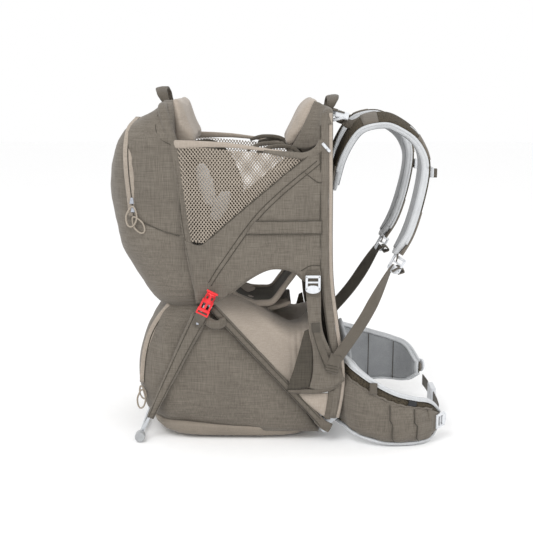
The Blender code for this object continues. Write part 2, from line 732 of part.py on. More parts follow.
# ---- shoulder harness ---------------------------------------------------
YOKE = Vector((frame_x(0.50) + PANEL_THICKNESS / 2 + 0.002 + STRAP_THICKNESS / 2 + AIR, 0, 0.50))
STRAP_LINE = (
    # forward and up from the yoke, and outward from the strap's own place
    (0.000, 0.000, -0.012), (0.012, 0.060, -0.008), (0.033, 0.106, 0.0), (0.056, 0.129, 0.004),
    (0.096, 0.136, 0.006), (0.127, 0.124, 0.008), (0.154, 0.102, 0.010), (0.171, 0.068, 0.012),
    (0.172, 0.030, 0.013), (0.161, -0.028, 0.016), (0.144, -0.082, 0.020), (0.120, -0.124, 0.024),
)


def strap_points(side):
    line = [YOKE + Vector((dx, STRAP_HALF_GAP + dy, dz)) for dx, dz, dy in STRAP_LINE]
    return mirrored(line, side)


WEB_BASE = Vector((frame_x(0.18) + 0.022, FRAME_HALF_WIDTH + 0.006, 0.186))
for hand, sign in SIDES.items():
    pad_line = strap_points(sign)
    path = smooth_path(pad_line, 3)
    rows = []
    for point in path:
        half = Vector((0.0, STRAP_WIDTH / 2, 0.0))
        rows.append([point - half, point, point + half])
    sheet("shoulder_strap_" + hand, rows, STRAP_THICKNESS, PADDING, 0.003)

    end = pad_line[-1]
    fall = (Vector((WEB_BASE.x, WEB_BASE.y * sign, WEB_BASE.z)) - end).normalized()
    lean = math.atan2(-fall.x, -fall.z)
    lock_at = end + fall * 0.026
    ladder_lock("strap_lock_" + hand, lock_at, (0.0, lean, 0.0))
    start = lock_at + fall * 0.0155
    stop = Vector((WEB_BASE.x, WEB_BASE.y * sign, WEB_BASE.z))
    sag = Vector((0.004, 0.0, -0.006))
    web = smooth_path([start, start.lerp(stop, 0.5) + sag, stop], 4)
    ribbon("lower_webbing_" + hand, web, (0, 1, 0), WEBBING_WIDTH, WEBBING, WEB)

    lifter_y = sign * (STRAP_HALF_GAP - 0.004)
    lifter_at = Vector((FRAME_HEAD.x + 0.024, lifter_y, FRAME_TOP - 0.006))
    ladder_lock("lifter_lock_" + hand, lifter_at, (0.0, math.radians(75), 0.0))
    lifter_end = lifter_at + Vector((0.040, 0.0, 0.003))
    lifter = [lifter_at + Vector((0.0145, 0, -0.001)), lifter_at.lerp(lifter_end, 0.7), lifter_end]
    ribbon("lifter_webbing_" + hand, lifter, (0, 1, 0), WEBBING_WIDTH, WEBBING, WEB)

    sternum = YOKE + Vector((STRAP_LINE[8][0] + STRAP_THICKNESS / 2 + 0.007 + AIR,
                             0.0, STRAP_LINE[8][1] + 0.006))
    sternum.y = sign * (STRAP_HALF_GAP + 0.004)
    box("sternum_slider_" + hand, (0.008, 0.030, 0.020), sternum, GREY, None, 0.002)


def grab_loop(name, base, lean, rise, half):
    """Webbing handle that arches across the width."""
    steps = 10
    path = []
    for i in range(steps + 1):
        angle = math.pi * i / steps
        up = math.sin(angle)
        path.append(base + Vector((lean * up, -half * math.cos(angle), rise * up)))
    ribbon(name, path, (1, 0, 0), GRIP_WIDTH, 0.003, WEB)


grab_loop("front_grab_loop", Vector((FRAME_HEAD.x + 0.006, 0, FRAME_TOP + FRAME_TUBE + 0.003)),
          0.006, 0.026, 0.050)
grab_loop("rear_grab_loop", Vector((HOOP_TOP.x - 0.002, 0, HOOP_TOP.z + HOOP_TUBE + 0.003)),
          -0.014, 0.029, 0.045)


# ---- hip belt -----------------------------------------------------------
WING_LINE = (
    # forward of the frame, outward, lower edge, upper edge
    (0.022, 0.122, 0.030, 0.160),
    (0.034, WING_HALF_SPREAD - 0.008, 0.020, 0.158),
    (0.066, WING_HALF_SPREAD + 0.006, 0.011, 0.142),
    (0.110, WING_HALF_SPREAD + 0.009, 0.003, 0.122),
    (0.150, WING_HALF_SPREAD + 0.004, 0.002, 0.108),
    (0.184, WING_HALF_SPREAD - 0.014, 0.003, 0.096),
    (0.204, WING_HALF_SPREAD - 0.040, 0.014, 0.080),
)
WING_BASE = frame_x(0.10)
POCKET_FIRST = 2
POCKET_LAST = 5
POCKET_THICKNESS = 0.005
BELT_Z = 0.048
BELT_FRONT = WING_BASE + 0.213


def wing_rows(side, first, last, outward, trim):
    """Rows of points up the wing, set outward along its own surface."""
    rows = []
    path = smooth_path([Vector((WING_BASE + dx, dy * side, 0.0))
                        for dx, dy, low, high in WING_LINE], 3)
    lows = smooth_path([Vector((low, 0, 0)) for dx, dy, low, high in WING_LINE], 3)
    highs = smooth_path([Vector((high, 0, 0)) for dx, dy, low, high in WING_LINE], 3)
    for i in range(first * 3, last * 3 + 1):
        along = (path[min(i + 1, len(path) - 1)] - path[max(i - 1, 0)]).normalized()
        place = path[i] + Vector((-along.y, along.x, 0.0)) * side * outward
        low = max(lows[i].x, 0.0015) + trim
        high = highs[i].x - trim
        rows.append([Vector((place.x, place.y, low + (high - low) * t)) for t in (0, 0.5, 1)])
    return rows


for hand, sign in SIDES.items():
    last = len(WING_LINE) - 1
    sheet("hip_wing_" + hand, wing_rows(sign, 0, last, 0.0, 0.0), WING_THICKNESS, PADDING, 0.003)
    out = (WING_THICKNESS + POCKET_THICKNESS) / 2 + AIR
    sheet("hip_pocket_" + hand, wing_rows(sign, POCKET_FIRST, POCKET_LAST, out, 0.020),
          POCKET_THICKNESS, SHELL, 0.001)
    tip = Vector((WING_BASE + WING_LINE[-1][0] + 0.004, sign * (WING_LINE[-1][1] - 0.010), BELT_Z))
    ladder_lock("hip_lock_" + hand, tip + Vector((0.004, -sign * 0.006, 0)),
                (math.radians(90), 0.0, sign * math.radians(15)))
    start = Vector((BELT_FRONT - 0.002, sign * 0.093, BELT_Z))
    stop = Vector((BELT_FRONT + 0.001, sign * 0.026, BELT_Z))
    ribbon("hip_webbing_" + hand, [start, start.lerp(stop, 0.5), stop], (0, 0, 1), 0.025,
           WEBBING, WEB)

buckle_turn = Matrix(((0, 1, 0, 0), (0, 0, 1, 0), (1, 0, 0, 0), (0, 0, 0, 1)))
side_release("hip_buckle", "", Matrix.Translation((BELT_FRONT + 0.001, -0.008, BELT_Z)) @ buckle_turn,
             0.032, 0.036, 0.011, GREY)
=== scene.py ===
import math

import bmesh
import bpy
from mathutils import Matrix, Vector, noise
from mathutils.bvhtree import BVHTree


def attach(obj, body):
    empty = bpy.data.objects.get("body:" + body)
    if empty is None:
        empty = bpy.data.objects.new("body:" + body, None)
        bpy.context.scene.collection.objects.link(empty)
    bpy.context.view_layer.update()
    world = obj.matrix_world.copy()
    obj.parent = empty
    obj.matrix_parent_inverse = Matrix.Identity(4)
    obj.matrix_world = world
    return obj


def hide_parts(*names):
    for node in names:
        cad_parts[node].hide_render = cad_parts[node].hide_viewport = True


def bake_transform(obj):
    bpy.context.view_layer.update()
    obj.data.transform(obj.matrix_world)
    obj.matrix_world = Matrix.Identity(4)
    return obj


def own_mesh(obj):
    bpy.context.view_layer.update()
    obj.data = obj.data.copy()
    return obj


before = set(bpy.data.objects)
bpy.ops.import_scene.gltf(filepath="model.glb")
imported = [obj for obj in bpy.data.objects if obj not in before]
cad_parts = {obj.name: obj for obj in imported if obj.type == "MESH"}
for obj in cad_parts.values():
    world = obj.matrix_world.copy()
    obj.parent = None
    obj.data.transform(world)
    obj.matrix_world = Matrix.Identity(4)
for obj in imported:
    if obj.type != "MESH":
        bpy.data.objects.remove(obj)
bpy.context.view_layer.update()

# ---- Camera, floor and light ----
# A long-ish lens 1.9 m from the carrier's right side, a little above its top, pitched down.
# The floor and the sheet behind are matt white, lit by one broad soft light and white surroundings.
CAMERA_PLACE = (0.045, -1.90, 0.7123)
CAMERA_PITCH = 11.43
LENS_MM = 62.3

view = bpy.context.scene.view_settings
view.view_transform = "Standard"


def hex_linear(code):
    """sRGB hex to the linear values that a shader takes."""
    parts = [int(code[i:i + 2], 16) / 255 for i in (1, 3, 5)]
    return tuple(c / 12.92 if c <= 0.04045 else ((c + 0.055) / 1.055) ** 2.4 for c in parts) + (1.0,)


def add_node(tree, kind, settings=None, inputs=None):
    node = tree.nodes.new(kind)
    for key, value in (settings or {}).items():
        setattr(node, key, value)
    for key, value in (inputs or {}).items():
        if isinstance(value, bpy.types.NodeSocket):
            tree.links.new(value, node.inputs[key])
        else:
            node.inputs[key].default_value = value
    return node


def new_material(name):
    """A material with its tree, its Principled shader and its object coordinates."""
    made = bpy.data.materials.new(name)
    made.use_nodes = True
    tree = made.node_tree
    shader = tree.nodes["Principled BSDF"]
    place = add_node(tree, "ShaderNodeTexCoord").outputs["Object"]
    return made, tree, shader, place


camera_data = bpy.data.cameras.new("camera")
camera_data.lens = LENS_MM
camera = bpy.data.objects.new("camera", camera_data)
camera.location = CAMERA_PLACE
camera.rotation_euler = (math.radians(90 - CAMERA_PITCH), 0, 0)
bpy.context.scene.collection.objects.link(camera)
bpy.context.scene.camera = camera

world = bpy.data.worlds.new("white surroundings")
world.use_nodes = True
world.node_tree.nodes["Background"].inputs["Color"].default_value = (1, 1, 1, 1)
world.node_tree.nodes["Background"].inputs["Strength"].default_value = 1.0
bpy.context.scene.world = world

for name, place, aim, size, power in (
        ("key light", (-0.9, -1.6, 2.2), (0.0, 0.0, 0.3), 1.4, 26),
        ("fill light", (1.8, -1.2, 1.2), (0.1, 0.0, 0.3), 1.6, 9)):
    lamp = bpy.data.lights.new(name, "AREA")
    lamp.size = size
    lamp.energy = power
    holder = bpy.data.objects.new(name, lamp)
    holder.location = place
    holder.rotation_euler = (Vector(aim) - Vector(place)).to_track_quat("-Z", "Y").to_euler()
    bpy.context.scene.collection.objects.link(holder)

bpy.ops.object.select_all(action="DESELECT")
bpy.ops.mesh.primitive_plane_add(size=14, location=(0, 2, -0.0005))
floor = bpy.context.object
floor.name = "floor"
FLOOR_MATERIAL, tree, shader, place = new_material("matt white floor paint")
speckle = add_node(tree, "ShaderNodeTexNoise", inputs={"Vector": place, "Scale": 40.0})
shade = add_node(tree, "ShaderNodeMix", {"data_type": "RGBA"},
                 {0: speckle.outputs[0], 6: hex_linear("#fbfbfb"), 7: hex_linear("#ffffff")})
tree.links.new(shade.outputs[2], shader.inputs["Base Color"])
shader.inputs["Roughness"].default_value = 0.9
floor.data.materials.append(FLOOR_MATERIAL)

# ---- Upper rear bag ----
# A polyester pack cloth with a heathered slub weave, cut as one side wall and a rounded back, sewn
# to the sleeve that the rear hoop runs in. It holds its shape with light stuffing, so it sags little.


def heather_cloth(name, dark, light, streak_mm, length_mm, contrast, sheen):
    """Plain-woven cloth whose uneven yarns show as crossed streaks.

    The yarns are 0.4 mm; the streaks are drawn wider, so that they show at a distance.
    """
    made, tree, shader, place = new_material(name)
    thin = 1000 / streak_mm
    long = 1000 / length_mm
    weft = add_node(tree, "ShaderNodeMapping", None, {"Vector": place, "Scale": (long, long, thin)})
    warp = add_node(tree, "ShaderNodeMapping", None, {"Vector": place, "Scale": (thin, thin, long)})
    across = add_node(tree, "ShaderNodeTexNoise", None,
                      {"Vector": weft.outputs[0], "Scale": 1.0, "Detail": 3.0})
    down = add_node(tree, "ShaderNodeTexNoise", None,
                    {"Vector": warp.outputs[0], "Scale": 1.0, "Detail": 3.0})
    both = add_node(tree, "ShaderNodeMath", {"operation": "ADD"},
                    {0: across.outputs[0], 1: down.outputs[0]})
    level = add_node(tree, "ShaderNodeMapRange", None,
                     {"Value": both.outputs[0], "From Min": 1.0 - contrast, "From Max": 1.0 + contrast})
    cloud = add_node(tree, "ShaderNodeTexNoise", None, {"Vector": place, "Scale": 9.0, "Detail": 2.0})
    tone = add_node(tree, "ShaderNodeMapRange", None,
                    {"Value": cloud.outputs[0], "From Min": 0.3, "From Max": 0.7,
                     "To Min": 0.90, "To Max": 1.06})
    yarn = add_node(tree, "ShaderNodeMix", {"data_type": "RGBA"},
                    {0: level.outputs[0], 6: hex_linear(dark), 7: hex_linear(light)})
    worn = add_node(tree, "ShaderNodeMix", {"data_type": "RGBA", "blend_type": "MULTIPLY"},
                    {0: 1.0, 6: yarn.outputs[2], 7: tone.outputs[0]})
    tree.links.new(worn.outputs[2], shader.inputs["Base Color"])
    fold = add_node(tree, "ShaderNodeTexNoise", None, {"Vector": place, "Scale": 26.0, "Detail": 3.0})
    thread = add_node(tree, "ShaderNodeMath", {"operation": "MULTIPLY"},
                      {0: both.outputs[0], 1: 0.35})
    height = add_node(tree, "ShaderNodeMath", {"operation": "ADD"},
                      {0: fold.outputs[0], 1: thread.outputs[0]})
    bump = add_node(tree, "ShaderNodeBump", None,
                    {"Height": height.outputs[0], "Strength": 0.55, "Distance": 0.0016})
    tree.links.new(bump.outputs[0], shader.inputs["Normal"])
    shader.inputs["Roughness"].default_value = 0.88
    shader.inputs["Sheen Weight"].default_value = sheen
    shader.inputs["Sheen Roughness"].default_value = 0.5
    return made


PACK_CLOTH = heather_cloth("heathered polyester pack cloth", "#564f46", "#756e64", 1.15, 32, 0.30, 0.12)
SLEEVE_CLOTH = heather_cloth("doubled pack cloth", "#534c43", "#6a6359", 1.3, 30, 0.3, 0.12)
LINING_CLOTH = heather_cloth("brushed tricot lining", "#968b7f", "#a99e92", 1.4, 14, 0.35, 0.2)
# The bottom's cloth is the tan lining colour made darker, as painted shade on the underside.
SHADED_BASE_CLOTH = heather_cloth("base cloth darkened as painted shade", "#7d7468", "#8f8579", 1.4, 16, 0.35, 0.1)
# Dark cloth, mostly painted shade: the shadow lines of seams and slots, and the shaded inside of the cockpit.
SHADE_CLOTH = heather_cloth("dark cloth for painted shade and zip coils", "#38332b", "#4d473d", 1.5, 30, 0.3, 0.1)


def even_line(points, count):
    """Points at even steps along a smooth curve through the given ones."""
    points = [Vector(p) for p in points]
    ends = [points[0] * 2 - points[1]] + points + [points[-1] * 2 - points[-2]]
    fine = []
    for i in range(1, len(ends) - 2):
        a, b, c, d = ends[i - 1:i + 3]
        for step in range(16):
            t = step / 16
            fine.append(0.5 * (2 * b + (c - a) * t + (2 * a - 5 * b + 4 * c - d) * t * t
                               + (3 * b - a - 3 * c + d) * t ** 3))
    fine.append(points[-1])
    reach = [0.0]
    for p, q in zip(fine, fine[1:]):
        reach.append(reach[-1] + (q - p).length)
    line = []
    at = 0
    for i in range(count):
        want = reach[-1] * i / (count - 1)
        while at < len(fine) - 2 and reach[at + 1] < want:
            at += 1
        span = max(reach[at + 1] - reach[at], 1e-9)
        line.append(fine[at].lerp(fine[at + 1], min(1.0, (want - reach[at]) / span)))
    return line


def read_off(table, key):
    """Value at a key, on a smooth line through (key, value) pairs."""
    if key <= table[0][0]:
        return table[0][1]
    for i in range(len(table) - 1):
        k0, v0 = table[i]
        k1, v1 = table[i + 1]
        if key <= k1:
            before = table[max(i - 1, 0)]
            after = table[min(i + 2, len(table) - 1)]
            s0 = (v1 - before[1]) / max(k1 - before[0], 1e-9) * (k1 - k0)
            s1 = (after[1] - v0) / max(after[0] - k0, 1e-9) * (k1 - k0)
            t = (key - k0) / (k1 - k0)
            return ((2 * t ** 3 - 3 * t ** 2 + 1) * v0 + (t ** 3 - 2 * t ** 2 + t) * s0
                    + (3 * t ** 2 - 2 * t ** 3) * v1 + (t ** 3 - t ** 2) * s1)
    return table[-1][1]


def skin(name, rows, around=False, ends=False):
    """Mesh over rows of points; around closes each row, ends closes the first and last row."""
    bm = bmesh.new()
    grid = [[bm.verts.new(p) for p in row] for row in rows]
    count = len(grid[0])
    for lower, upper in zip(grid, grid[1:]):
        for i in range(count if around else count - 1):
            j = (i + 1) % count
            bm.faces.new((lower[i], lower[j], upper[j], upper[i]))
    if ends:
        bm.faces.new(list(reversed(grid[0])))
        bm.faces.new(grid[-1])
    bmesh.ops.remove_doubles(bm, verts=bm.verts, dist=0.00002)
    bmesh.ops.recalc_face_normals(bm, faces=bm.faces)
    mesh = bpy.data.meshes.new(name)
    bm.to_mesh(mesh)
    bm.free()
    mesh.shade_smooth()
    piece = bpy.data.objects.new(name, mesh)
    bpy.context.scene.collection.objects.link(piece)
    return piece


def apply_modifiers(piece):
    bpy.ops.object.select_all(action="DESELECT")
    piece.select_set(True)
    bpy.context.view_layer.objects.active = piece
    for modifier in list(piece.modifiers):
        bpy.ops.object.modifier_apply(modifier=modifier.name)
    return piece


def thicken(piece, thickness, offset=0.0):
    wall = piece.modifiers.new("cloth", "SOLIDIFY")
    wall.thickness = thickness
    wall.offset = offset
    return apply_modifiers(piece)


def crumple(piece, amount, size, seed, stretch=(1, 1, 1)):
    """Soft folds: each point moves along its normal by smooth noise of a given fold size."""
    shift = Vector((seed * 3.7, seed * 1.3, seed * 2.1))
    mesh = piece.data
    normals = [v.normal.copy() for v in mesh.vertices]
    for vert, normal in zip(mesh.vertices, normals):
        at = Vector((vert.co.x * stretch[0], vert.co.y * stretch[1], vert.co.z * stretch[2]))
        vert.co += normal * amount * noise.noise(at / size + shift)
    mesh.update()
    return piece


def flatten(piece, body):
    """Hang a piece on its body and give it a mesh of its own."""
    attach(piece, body)
    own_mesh(piece)


def fit_out(piece, cloth, body):
    """Dress a piece and hang it on its body; "between" only bakes its place into its mesh and hangs it on no body,
    "folding" hangs it on the carrier with a mesh of its own.
    """
    piece.data.materials.clear()
    piece.data.materials.append(cloth)
    if body == "between":
        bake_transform(piece)
    elif body == "folding":
        flatten(piece, "carrier")
    else:
        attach(piece, body)
    return piece


SIDE_Y = 0.157                 # the side walls' outer face
BAG_BACK = ((0.262, -0.150), (0.286, -0.186), (0.355, -0.231), (0.400, -0.251), (0.460, -0.264),
            (0.520, -0.2665), (0.570, -0.259), (0.603, -0.244), (0.636, -0.213), (0.650, -0.187),
            (0.662, -0.166), (0.672, -0.156))
BAG_SEAM = ((0.262, -0.082), (0.287, -0.086), (0.330, -0.096), (0.407, -0.112), (0.500, -0.122),
            (0.596, -0.131), (0.640, -0.134), (0.672, -0.136))
BAG_HALF = ((0.262, 0.118), (0.290, 0.142), (0.330, 0.154), (0.400, SIDE_Y), (0.600, SIDE_Y),
            (0.630, 0.152), (0.655, 0.136), (0.672, 0.100))


def bag_point(z, turn, proud=0.0):
    """Point on the bag's outside; turn is -1 on the right seam, 0 at the back, 1 on the left seam."""
    angle = abs(turn) * math.pi / 2
    seam = read_off(BAG_SEAM, z)
    back = read_off(BAG_BACK, z) - proud
    half = read_off(BAG_HALF, z) + proud
    x = seam + (back - seam) * max(math.cos(angle), 0.0) ** 0.72
    y = half * math.sin(angle) ** 0.60
    return Vector((x, math.copysign(y, turn) if turn else 0.0, z))


def bag_side(x, z, proud=0.0):
    """Point on the bag's right side wall that lies at x and z."""
    seam = read_off(BAG_SEAM, z)
    back = read_off(BAG_BACK, z)
    share = min(max((x - seam) / (back - seam), 0.0), 1.0)
    angle = math.acos(share ** (1 / 0.72))
    y = (read_off(BAG_HALF, z) + proud) * math.sin(angle) ** 0.60
    return Vector((x, -y, z))


rows = []
for i in range(44):
    z = 0.262 + (0.672 - 0.262) * i / 43
    ring = [bag_point(z, -1 + 2 * j / 40) for j in range(41)]
    half = read_off(BAG_HALF, z)
    seam = read_off(BAG_SEAM, z)
    ring += [Vector((seam + 0.006 * math.sin(math.pi * j / 10), half * (1 - j / 5), z))
             for j in range(1, 10)]
    rows.append(ring)
bag = skin("upper_bag", rows, around=True, ends=True)
crumple(bag, 0.0050, 0.060, 1, (1, 1, 0.6))
crumple(bag, 0.0018, 0.022, 2)
fit_out(bag, PACK_CLOTH, "hoop")
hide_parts("rear_bag")


def oval(width, thickness, count=12, square=0.75):
    """Section with soft corners, as (across, out) pairs."""
    section = []
    for i in range(count):
        angle = math.tau * i / count
        c = math.cos(angle)
        s = math.sin(angle)
        section.append((width / 2 * math.copysign(abs(c) ** square, c),
                        thickness / 2 * math.copysign(abs(s) ** square, s)))
    return section


def sweep(name, path, section, across, grow=None, closed=False):
    """Section carried along a path; across is its width direction, one vector or one per point."""
    rows = []
    last = len(path) - 1
    for i, point in enumerate(path):
        if closed:
            along = path[(i + 1) % (last + 1)] - path[i - 1]
        else:
            along = path[min(i + 1, last)] - path[max(i - 1, 0)]
        along.normalize()
        wide = Vector(across[i] if isinstance(across, list) else across)
        wide = (wide - along * wide.dot(along)).normalized()
        out = along.cross(wide)
        size = grow(i / last) if grow else 1.0
        rows.append([point + wide * u * size + out * v for u, v in section])
    if closed:
        rows.append(rows[0])
    return skin(name, rows, around=True, ends=not closed)


def seam_line(name, path, cloth, body, radius=0.0009):
    """A sewn seam: a thin raised ridge in dark cloth, which paints its shadow line."""
    piece = sweep(name, even_line(path, 24), oval(radius * 2, radius * 2, 6, 1.0), (0, 1, 0.01))
    return fit_out(piece, cloth, body)


# The hoop's sleeve, which closes the bag's front edge and passes across the top.
HOOP_LINE = ((-0.081, 0.292), (-0.096, 0.350), (-0.109, 0.420), (-0.120, 0.500), (-0.131, 0.590),
             (-0.141, 0.625))
hoop_sleeve = ([Vector((x, -0.1495, z)) for x, z in HOOP_LINE]
               + [Vector(p) for p in ((-0.148, -0.142, 0.650), (-0.152, -0.122, 0.661), (-0.153, -0.06, 0.662),
                                      (-0.153, 0.06, 0.662), (-0.152, 0.122, 0.661), (-0.148, 0.142, 0.650))]
               + [Vector((x, 0.1495, z)) for x, z in reversed(HOOP_LINE)])
sleeve = sweep("hoop_sleeve", even_line(hoop_sleeve, 150), oval(0.0190, 0.0185, 14, 0.9), (1, 0, 0.1))
crumple(sleeve, 0.0008, 0.03, 3)
fit_out(sleeve, PACK_CLOTH, "hoop")

# The bag's own seams: along the hoop's sleeve, under the zip, and down from the top handle.
hoop_seam = [Vector((read_off(BAG_SEAM, z) + 0.001, -read_off(BAG_HALF, z) - 0.0004, z))
             for z in (0.290, 0.36, 0.44, 0.52, 0.60)]
seam_line("bag_seam_right", hoop_seam, SHADE_CLOTH, "hoop")
seam_line("bag_seam_left", [Vector((p.x, -p.y, p.z)) for p in hoop_seam], SHADE_CLOTH,
          "hoop")
seam_line("pocket_seam", [bag_side(x, z, 0.0006) for x, z in
                          ((-0.204, 0.452), (-0.180, 0.440), (-0.150, 0.428), (-0.121, 0.420))],
          SHADE_CLOTH, "hoop")
seam_line("handle_seam", [bag_side(x, z, 0.0006) for x, z in
                          ((-0.160, 0.648), (-0.163, 0.625), (-0.155, 0.605), (-0.133, 0.592))],
          SHADE_CLOTH, "hoop")

# ---- Zips ----
# Coil zips on woven tape, painted zinc sliders, and soft moulded loops threaded through the sliders
# as pulls. The tape is stitched flat on the cloth and the coil shows as a dark line down its middle.
ZIP_TAPE = heather_cloth("woven zip tape", "#8f8579", "#a69b8f", 1.2, 8, 0.3, 0.1)
TAPE_WIDTH = 0.0185

ZIP_METAL, tree, shader, place = new_material("painted zinc")
grit = add_node(tree, "ShaderNodeTexNoise", None, {"Vector": place, "Scale": 900.0})
tint = add_node(tree, "ShaderNodeMix", {"data_type": "RGBA"},
                {0: grit.outputs[0], 6: hex_linear("#8b8f98"), 7: hex_linear("#c3c7cf")})
tree.links.new(tint.outputs[2], shader.inputs["Base Color"])
shader.inputs["Metallic"].default_value = 0.8
shader.inputs["Roughness"].default_value = 0.35

PULL_RUBBER, tree, shader, place = new_material("soft moulded loop")
grit = add_node(tree, "ShaderNodeTexNoise", None, {"Vector": place, "Scale": 500.0})
tint = add_node(tree, "ShaderNodeMix", {"data_type": "RGBA"},
                {0: grit.outputs[0], 6: hex_linear("#857b6e"), 7: hex_linear("#a79c8f")})
tree.links.new(tint.outputs[2], shader.inputs["Base Color"])
bump = add_node(tree, "ShaderNodeBump", None, {"Height": grit.outputs[0], "Distance": 0.0003})
tree.links.new(bump.outputs[0], shader.inputs["Normal"])
shader.inputs["Roughness"].default_value = 0.6


def zip_run(prefix, path, body, node):
    tape = sweep(prefix + "_tape", path, oval(TAPE_WIDTH, 0.0016, 10, 0.5), (1, 0, 0.02))
    fit_out(tape, ZIP_TAPE, body)
    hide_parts(node)
    coil = sweep(prefix + "_coil", [p + Vector((0, -0.0009, 0)) for p in path],
                 oval(0.0022, 0.0014, 8, 1.0), (1, 0, 0.02))
    fit_out(coil, SHADE_CLOTH, body)


def zip_pull(prefix, at, lean, loops, body, node, folds=False):
    """Slider body, its bridge, and one or two hanging loops."""
    bpy.ops.object.select_all(action="DESELECT")
    bpy.ops.mesh.primitive_cube_add(size=1, location=(0, 0, 0))
    slider = bpy.context.object
    slider.name = prefix + "_slider"
    slider.data.transform(Matrix.Diagonal((0.0085, 0.0045, 0.012, 1)))
    bpy.ops.object.mode_set(mode="EDIT")
    bpy.ops.mesh.select_all(action="DESELECT")
    bpy.ops.object.mode_set(mode="OBJECT")
    for face in slider.data.polygons:
        face.select = face.normal.z > 0.9
    bpy.ops.object.mode_set(mode="EDIT")
    bpy.ops.mesh.select_mode(type="FACE")
    bpy.ops.transform.resize(value=(0.6, 1, 1))
    bpy.ops.object.mode_set(mode="OBJECT")
    soften = slider.modifiers.new("edges", "BEVEL")
    soften.width = 0.0011
    soften.segments = 3
    apply_modifiers(slider)
    slider.data.transform(Matrix.Translation(at) @ Matrix.Rotation(lean, 4, "Y"))
    slider.data.shade_smooth()
    fit_out(slider, ZIP_METAL, body)
    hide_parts(node)
    if folds:
        flatten(slider, body)
    for i, (dx, dz, wide, tall, tilt) in enumerate(loops):
        ring = []
        for k in range(28):
            angle = math.tau * k / 28
            narrow = 1 - 0.35 * max(0.0, math.sin(angle))
            u = wide * math.cos(angle) * narrow
            v = tall * math.sin(angle)
            ring.append(at + Vector((dx + u * math.cos(tilt) + v * math.sin(tilt),
                                     -0.004 - 0.0015 * math.cos(angle),
                                     dz - u * math.sin(tilt) + v * math.cos(tilt))))
        loop = sweep(prefix + "_pull_%d" % i, ring, oval(0.0034, 0.0034, 8, 1.0), (0, 1, 0), closed=True)
        fit_out(loop, PULL_RUBBER, body)
        if folds:
            flatten(loop, body)


upper_zip = [bag_side(x, z, 0.0008) for x, z in
             ((-0.203, 0.641), (-0.214, 0.622), (-0.2185, 0.585), (-0.2175, 0.540),
              (-0.2135, 0.495), (-0.2105, 0.456))]
zip_run("upper_zip", even_line(upper_zip, 40), "hoop", "upper_zip_track")
zip_pull("upper_high", bag_side(-0.2125, 0.486, 0.004), 0.05,
         ((-0.001, -0.030, 0.0105, 0.020, 0.15),), "upper_slider_high", "upper_zip_slider_high")
zip_pull("upper_low", bag_side(-0.2110, 0.470, 0.004), 0.05,
         ((0.010, -0.030, 0.0095, 0.018, -0.55),), "upper_slider_low", "upper_zip_slider_low")

# ---- Lower bag ----
# The same cloth, from the hoop's lower legs back to a rounded rear, over a bottom of brushed cloth.
# The kickstand's wire runs in a tapered sleeve on each side, and a zip follows the rear edge.
BASE = Vector((0.162, 0.0, 0.030))
CROSS = Vector((-0.071, 0.0, 0.287))
BOOT_BACK = ((0.036, -0.191), (0.050, -0.203), (0.080, -0.2145), (0.105, -0.2190), (0.140, -0.2180),
             (0.181, -0.2110), (0.220, -0.1970), (0.255, -0.1730), (0.283, -0.1480))
BOOT_HALF = ((0.036, 0.142), (0.060, 0.149), (0.120, 0.152), (0.200, 0.151), (0.255, 0.143),
             (0.283, 0.120))


def boot_front(z):
    """The slanting line of the hoop's lower leg, just behind its sleeve."""
    return BASE.x - 0.006 - (z - BASE.z) * (BASE.x - CROSS.x) / (CROSS.z - BASE.z)


def boot_point(z, turn, proud=0.0):
    angle = abs(turn) * math.pi / 2
    seam = boot_front(z)
    back = read_off(BOOT_BACK, z) - proud
    half = read_off(BOOT_HALF, z) + proud
    x = seam + (back - seam) * max(math.cos(angle), 0.0) ** 0.42
    y = half * math.sin(angle) ** 0.42
    return Vector((x, math.copysign(y, turn) if turn else 0.0, z))


def boot_side(x, z, proud=0.0):
    seam = boot_front(z)
    share = min(max((x - seam) / (read_off(BOOT_BACK, z) - seam), 0.0), 1.0)
    angle = math.acos(share ** (1 / 0.42))
    return Vector((x, -(read_off(BOOT_HALF, z) + proud) * math.sin(angle) ** 0.42, z))


rows = []
for i in range(36):
    z = 0.036 + (0.283 - 0.036) * i / 35
    ring = [boot_point(z, -1 + 2 * j / 52) for j in range(53)]
    half = read_off(BOOT_HALF, z)
    front = boot_front(z)
    ring += [Vector((front + 0.002, half * (1 - j / 5), z)) for j in range(1, 10)]
    rows.append(ring)
boot = skin("lower_bag", rows, around=True, ends=True)
for vert in boot.data.vertices:
    # The hem slopes down to the front, where the base cloth is lower.
    low = max(0.0, 1 - (vert.co.z - 0.036) / 0.044)
    vert.co.z -= 0.0185 * low * min(max((vert.co.x + 0.19) / 0.34, 0.0), 1.0)
crumple(boot, 0.0060, 0.050, 5, (1.3, 1, 0.22))
crumple(boot, 0.0022, 0.022, 6, (1.2, 1, 0.35))
fit_out(boot, PACK_CLOTH, "folding")
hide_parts("boot_bag")

rows = []
for drop, shrink in ((0.000, 1.0), (0.006, 0.996), (0.014, 0.985), (0.022, 0.965), (0.029, 0.93),
                     (0.034, 0.86), (0.0365, 0.74), (0.0372, 0.5)):
    ring = []
    for j in range(72):
        angle = math.tau * j / 72
        c = math.cos(angle)
        s = math.sin(angle)
        x = -0.020 + 0.172 * shrink * math.copysign(abs(c) ** 0.5, c)
        y = 0.1455 * shrink * math.copysign(abs(s) ** 0.5, s)
        top = 0.0395 - 0.055 * (x + 0.19)
        ring.append(Vector((x, y, max(top * (1 - drop / 0.0372), 0.0004))))
    rows.append(ring)
bottom = skin("lower_bag_bottom", rows, around=True, ends=True)
crumple(bottom, 0.0006, 0.03, 7)
for vert in bottom.data.vertices:
    # The bottom is boat-shaped: it rests on its middle and lifts towards both ends.
    reach = (vert.co.x + 0.020) / 0.172
    lift = 0.0003 + (0.029 if reach < 0 else 0.008) * min(1.0, abs(reach)) ** 3
    vert.co.z = max(vert.co.z, lift)
# The bottom's darker cloth is painted shade.
fit_out(bottom, SHADED_BASE_CLOTH, "folding")
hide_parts("boot_bag")

